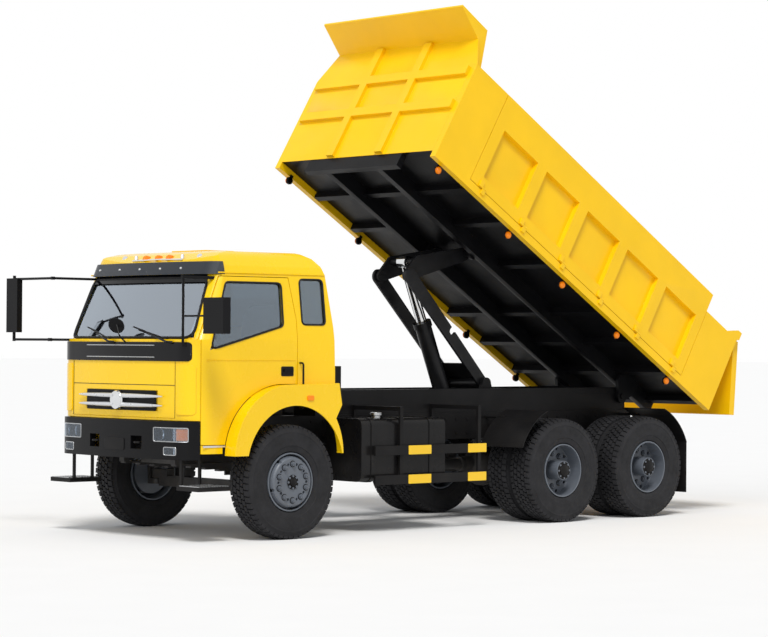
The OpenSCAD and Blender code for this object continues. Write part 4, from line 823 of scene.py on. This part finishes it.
rail.pipe([(roof_x + 0.05, -0.30, roof_z - 0.018), (roof_x + 0.055, 0.08, roof_z - 0.012), (roof_x + 0.05, 0.46, roof_z - 0.018)], 0.008, 10)
for y in (-0.271, 0.433):
    rail.turned([(-0.03, 0), (-0.03, 0.016), (0.020, 0.018), (0.034, 0.012), (0.038, 0)], (roof_x + 0.03, y, roof_z - 0.005), (0, 0, 1), 20)
for y in (-0.52, 0.62):
    rail.turned([(-0.03, 0), (-0.03, 0.034), (0.012, 0.032), (0.030, 0.018), (0.035, 0)], (roof_x - 0.03, y, roof_z), (0, 0, 1), 24)
rail.piece("roof_rail", chrome, "chassis", "cab_plastic", 0)
markers = Shape(TRUCK)
for y in ROOF_LAMPS:
    markers.shell([[(roof_x + 0.055 - 0.11 * t, y + 0.028 * w * math.cos(a), roof_z - 0.012 + 0.016 * t + 0.040 * w * max(0, math.sin(a)))
                    for a in (2 * math.pi * k / 16 for k in range(16))]
                   for t, w in ((0, 0.35), (0.08, 0.8), (0.25, 1), (0.5, 0.85), (0.8, 0.5), (1, 0.2))])
markers.piece("roof_marker_lamps", amber_lens, "chassis", "lamp_lens", 0)
screw = Shape(TRUCK).turned([(-0.004, 0), (-0.004, 0.011), (0.004, 0.009), (0.006, 0)], (0.876, -0.62, 2.480), (1, 0, 0.4), 14)
repeated("visor_screws", screw, 5, chrome, "chassis", "cab_plastic", step=(0, 0.31, 0), bevel=0)
lookdown = Shape(TRUCK)
lookdown.pipe(bent([on_face(0.10, 1.80, 0.01), (1.17, 0.09, 1.86), (1.15, 0.02, 1.97)], 0.04), 0.007, 8)
lookdown.turned([(-0.018, 0), (-0.022, 0.045), (-0.008, 0.074), (0.004, 0.078), (0.006, 0)], (1.15, 0.02, 1.955), (0.8, 0.5, -0.5), 32)
lookdown.piece("look_down_mirror", dark_trim, "chassis", "black_plastic", 0)
glasses = Shape(TRUCK)
glasses.prism(rounded(-1.565, -1.415, 1.91, 2.39, 0.02), 1.2225, 1.2255, "x")
glasses.prism(rounded(1.305, 1.565, 1.90, 2.18, 0.03), 1.0625, 1.0655, "x")
glasses.piece("mirror_glasses", chrome, "chassis", "black_plastic", 0)

# %% [markdown]
# ## Door furniture, steps and grab rails
# A hand's-width recess carries the door's handle, and a key barrel sits beside it. The step's
# cleats are repeated along it, and a rail behind the door helps the driver up.

# %% Handles, cleats and rails
for side, sign in (("left", 1), ("right", -1)):
    cup, grip = Shape(TRUCK), Shape(TRUCK)
    laid(cup, on_side, -0.080, 0.062, 1.498, 1.588, 0.004, 0.002, 0.014, 8)
    laid(grip, on_side, -0.066, 0.040, 1.535, 1.568, 0.022, -0.006, 0.008, 8)
    grip.turned([(0, 0), (0, 0.010), (0.008, 0.010), (0.010, 0)], on_side(0.05, 1.520, 0.002), (0, 1, 0), 14)
    line = Shape(TRUCK)
    line.pipe([on_side(x, 1.645, 0.0015) for x in (-0.10, 0.15, 0.45, 0.75, 0.90)], 0.004, 6)
    for shape, name, finish, slot in ((cup, "handle_cup", rubber_seal, "black_plastic"),
                                      (grip, "door_handle", dark_trim, "black_plastic"),
                                      (line, "door_crease", cab_paint, "cab_paint")):
        for v in shape.bm.verts:
            v.co.y *= sign
        shape.piece(f"{side}_{name}", finish, side + "_cab_door", slot, 0.002 if name != "door_crease" else 0)
cleat = Shape(TRUCK).block(0.712, 0.720, 0.85, 1.13, 0.508, 0.516)
repeated("step_cleats", cleat, 12, satin_metal, "chassis", "black_plastic", step=(0.0302, 0, 0), mirror=True)
strip = laid(Shape(TRUCK), on_side, 0.690, 0.930, 0.858, 0.874, 0.006, 0.002, 0.004, 6).mirrored()
strip.piece("sill_strips", bar_silver, "chassis", "cab_plastic", 0)
repeaters = Shape(TRUCK).prism(rounded(-0.235, -0.155, 1.275, 1.320, 0.012), 1.194, 1.212)
repeaters.mirrored().piece("side_repeaters", amber_lens, "chassis", "lamp_lens", 0.004)
rails = Shape(TRUCK)
grab = [on_side(-0.155, 1.20, 0.0), on_side(-0.155, 1.20, 0.05), on_side(-0.155, 1.62, 0.05), on_side(-0.155, 1.62, 0.0)]
rails.pipe(bent(grab, 0.03), 0.009, 10)
rails.mirrored().piece("grab_rails", dark_trim, "chassis", "black_plastic", 0)
gutter = Shape(TRUCK)
gutter.pipe([on_side(-0.49 + 0.11 * i, GUTTER_Z, 0.004) for i in range(12)], 0.007, 6)
gutter.mirrored().piece("roof_gutters", cab_paint, "chassis", "cab_paint", 0)

# %% [markdown]
# ## Seats
# A seat is foam under cloth: its faces are crowned and its edges pull in. Each cushion is a run of round-cornered rings
# that swell and close, then one subdivision, which gives the soft shape without a simulation that nobody would see
# through the glass.

# %% Cushions, backs and their frames


def cushion(name, x0, x1, y0, y1, z0, z1, lean=0.0):
    """A crowned, round-edged pad that leans back by lean per metre of height."""
    rings = []
    for t, pull in ((0, 0.055), (0.06, 0.022), (0.25, 0.003), (0.5, 0), (0.75, 0.003), (0.92, 0.024), (1.0, 0.07), (1.045, 0.14)):
        z = z0 + (z1 - z0) * t
        rings.append([(x - lean * (z - z0), y, z) for x, y in rounded(x0 + pull * 0.6, x1 - pull * 0.6, y0 + pull, y1 - pull, 0.05, 4)])
    pad = Shape(TRUCK).shell(rings).piece(name, cloth_grey, "chassis", "seat_cloth", 0)
    mod = pad.modifiers.new("Soft", "SUBSURF")
    mod.levels = mod.render_levels = 1
    baked = bpy.data.meshes.new_from_object(pad.evaluated_get(bpy.context.evaluated_depsgraph_get()))
    pad.modifiers.clear()
    pad.data = baked
    return pad


(seat_x0, _, seat_z0), (seat_x1, _, _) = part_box("seats")
seat_x0, seat_x1 = seat_x0 - front_hub.x, seat_x1 - front_hub.x
bases = Shape(TRUCK)
for name, y0, y1 in (("driver", 0.285, 0.755), ("passenger", -0.825, -0.055)):
    bases.prism(rounded(y0 + 0.03, y1 - 0.03, seat_z0 + 0.004, seat_z0 + 0.26, 0.04), seat_x0 + 0.14, seat_x1 - 0.06, "x")
    cushion(name + "_seat_cushion", seat_x0 + 0.11, seat_x1 - 0.005, y0, y1, seat_z0 + 0.265, seat_z0 + 0.385)
    back = cushion(name + "_seat_back", seat_x0 + 0.075, seat_x0 + 0.185, y0 + 0.01, y1 - 0.01, seat_z0 + 0.40, seat_z0 + 0.795, 0.16)
bases.piece("seat_frames", dark_trim, "chassis", "seat_cloth", 0.012, 2, ("seats",))

# %% [markdown]
# ## Chassis furniture
# Reflective yellow plates on the side guards warn other drivers, bolts run along the rails where
# crossmembers and brackets are fixed, and the tank has a filler with a locking cap.

# %% Guard plates, rail bolts, tank filler and rear lamps
plates = Shape(TRUCK)
reflective = painted("reflective_yellow", (0.90, 0.56, 0.005), 0.35, coat=0.2, vary=0.04, grain=500, bump=0.0004)
for x0, x1 in ((-1.800, -1.500), (-2.552, -2.300)):
    for z in (0.505, 0.785):
        plates.prism(rounded(x0, x1, z - 0.043, z + 0.043, 0.006), 1.1395, 1.1425)
plates.mirrored().piece("guard_plates", reflective, "chassis", "frame_black", 0)
for row, z in enumerate((0.905, 1.045)):
    bolt = Shape(TRUCK).prism(hexagon(0, z, 0.012), 0.4245, 0.4345)
    repeated(f"rail_bolts_{row}", bolt, 30, frame_black, "chassis", "frame_black", centre=(-0.88, 0, 0),
             step=(-0.15, 0, 0), mirror=True)
filler = Shape(TRUCK)
tank_low, tank_high = (Vector(c) - TRUCK.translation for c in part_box("fuel_tank"))
at_x, at_y = tank_high.x - 0.32, tank_high.y - 0.16
filler.turned([(-0.02, 0), (-0.02, 0.045), (0.02, 0.045), (0.022, 0.056), (0.048, 0.056), (0.052, 0.048), (0.052, 0)],
              (at_x, at_y, tank_high.z - 0.004), (0, 0, 1), 32)
filler.piece("tank_filler", satin_metal, "chassis", "tank_paint", 0.002)
chassis_low, chassis_high = (Vector(c) - TRUCK.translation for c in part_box("chassis_frame"))
tail_x = chassis_low.x
lamps, carriers = Shape(TRUCK), Shape(TRUCK)
carriers.pipe([(tail_x - 0.02, -0.98, 0.93), (tail_x - 0.02, 0.98, 0.93)], 0.022, 10)
for y in (0.62, 0.98):
    carriers.both(tail_x - 0.050, tail_x - 0.015, y - 0.17 if y > 0.9 else y, y, 0.885, 0.985)
lamps.both(tail_x - 0.066, tail_x - 0.048, 0.815, 0.975, 0.893, 0.977)
carriers.piece("tail_lamp_bar", frame_black, "chassis", "frame_black", 0.003)
lamps.piece("tail_lamps", red_lens, "chassis", "frame_black", 0.004)

# %% [markdown]
# ## The bed's trim
# Amber marker lamps hang on short brackets along the bed's lower edges. The bed is yellow where it shows, and the
# floor's underside is drawn near-black as painted shade, the shade that falls under the raised bed, so the floor's copy
# has two finishes and each face takes the one for its place.

# %% Bed marker lamps


def box_in_bed(node):
    turn = BED.inverted()
    points = [turn @ v.co for v in frame["nodes"][node].data.vertices]
    return [min(p[i] for p in points) for i in range(3)], [max(p[i] for p in points) for i in range(3)]


bed_low, bed_high = box_in_bed("bed_floor")
span = bed_high[0] - bed_low[0]
brackets, ambers = Shape(BED), Shape(BED)
for share in (0.035, 0.27, 0.46, 0.66, 0.85):
    s = bed_high[0] - share * span
    brackets.block(s - 0.02, s + 0.02, 1.10, 1.106, 0.115, 0.20)
    brackets.turned([(-0.012, 0), (-0.012, 0.040), (0.006, 0.040), (0.006, 0)], (s, 1.112, 0.135), (0, 1, 0), 24)
    ambers.turned([(0.004, 0), (0.004, 0.036), (0.022, 0.034), (0.034, 0.022), (0.038, 0)], (s, 1.112, 0.135), (0, 1, 0), 24)
brackets.mirrored().piece("bed_lamp_brackets", frame_black, "bed", "bed_paint", 0)
ambers.mirrored().piece("bed_marker_lamps", amber_lens, "bed", "bed_paint", 0)
print("bed spans", [round(v, 3) for v in (*bed_low, *bed_high)])

# %% [markdown]
# ## Studio and camera
# The truck stands on a pale floor that runs out to a white surround. One broad, soft sun from
# above and to the left of the camera shapes it, and the even light around it fills the shadows,
# so the black chassis still shows its parts. The camera is a long lens at a standing person's
# eye height, off the truck's front left corner.

# %% Light, floor and camera
scene = bpy.context.scene
scene.view_settings.view_transform = "Standard"
world = bpy.data.worlds.new("soft_surround")
scene.world = world
world.use_nodes = True
wn, wl = world.node_tree.nodes, world.node_tree.links
fill = wn["Background"]
fill.inputs["Color"].default_value = (0.93, 0.96, 1.0, 1)
fill.inputs["Strength"].default_value = 0.44
white = wn.new("ShaderNodeBackground")
white.inputs["Color"].default_value = (1, 1, 1, 1)
white.inputs["Strength"].default_value = 1.0
ray = wn.new("ShaderNodeLightPath")
seen = wn.new("ShaderNodeMath")
seen.operation = "MAXIMUM"
wl.new(ray.outputs["Is Camera Ray"], seen.inputs[0])
wl.new(ray.outputs["Is Transmission Ray"], seen.inputs[1])
also = wn.new("ShaderNodeMath")
also.operation = "MAXIMUM"
wl.new(seen.outputs[0], also.inputs[0])
wl.new(ray.outputs["Is Glossy Ray"], also.inputs[1])
pick = wn.new("ShaderNodeMixShader")
wl.new(also.outputs[0], pick.inputs[0])
wl.new(fill.outputs[0], pick.inputs[1])
wl.new(white.outputs[0], pick.inputs[2])
wl.new(pick.outputs[0], wn["World Output"].inputs["Surface"])


def sun(name, toward, strength, spread_deg, colour=(1, 1, 1)):
    """A far light that shines along a direction, soft by its angle."""
    lamp = bpy.data.lights.new(name, "SUN")
    lamp.energy = strength
    lamp.angle = math.radians(spread_deg)
    lamp.color = colour
    obj = bpy.data.objects.new(name, lamp)
    obj.rotation_euler = Vector(toward).to_track_quat("-Z", "Y").to_euler()
    scene.collection.objects.link(obj)


sun("key_light", (-0.45, -0.55, -1.0), 2.1, 16, (1.0, 0.98, 0.95))
sun("face_light", (-1.0, -0.35, -0.55), 0.8, 35)

FLOOR_HALF = 220.0
floor_mesh = bpy.data.meshes.new("floor")
corner = [(-1, -1), (1, -1), (1, 1), (-1, 1)]
floor_mesh.from_pydata([(x * FLOOR_HALF, y * FLOOR_HALF, 0) for x, y in corner], [], [(0, 1, 2, 3)])
floor = bpy.data.objects.new("floor", floor_mesh)
scene.collection.objects.link(floor)
floor_mesh.materials.append(painted("pale_floor", (0.90, 0.90, 0.90), 0.9, vary=0.006, grain=3, bump=0.0, specular=0.0))

camera_data = bpy.data.cameras.new("eye_height_camera")
camera_data.lens = 115.45
camera_data.sensor_width = 36
camera_data.clip_end = 600
camera = bpy.data.objects.new("eye_height_camera", camera_data)
bearing, rise, roll = math.radians(47.41), math.radians(0.62), math.radians(0.38)
look = Vector((-math.cos(bearing) * math.cos(rise), -math.sin(bearing) * math.cos(rise), math.sin(rise)))
camera.location = (front_hub.x + 14.69, 18.39, 1.79)
camera.rotation_mode = "QUATERNION"
facing = look.to_track_quat("-Z", "Y").to_matrix()
camera.rotation_quaternion = (facing @ Matrix.Rotation(roll, 3, "Z")).to_quaternion()
scene.collection.objects.link(camera)
scene.camera = camera
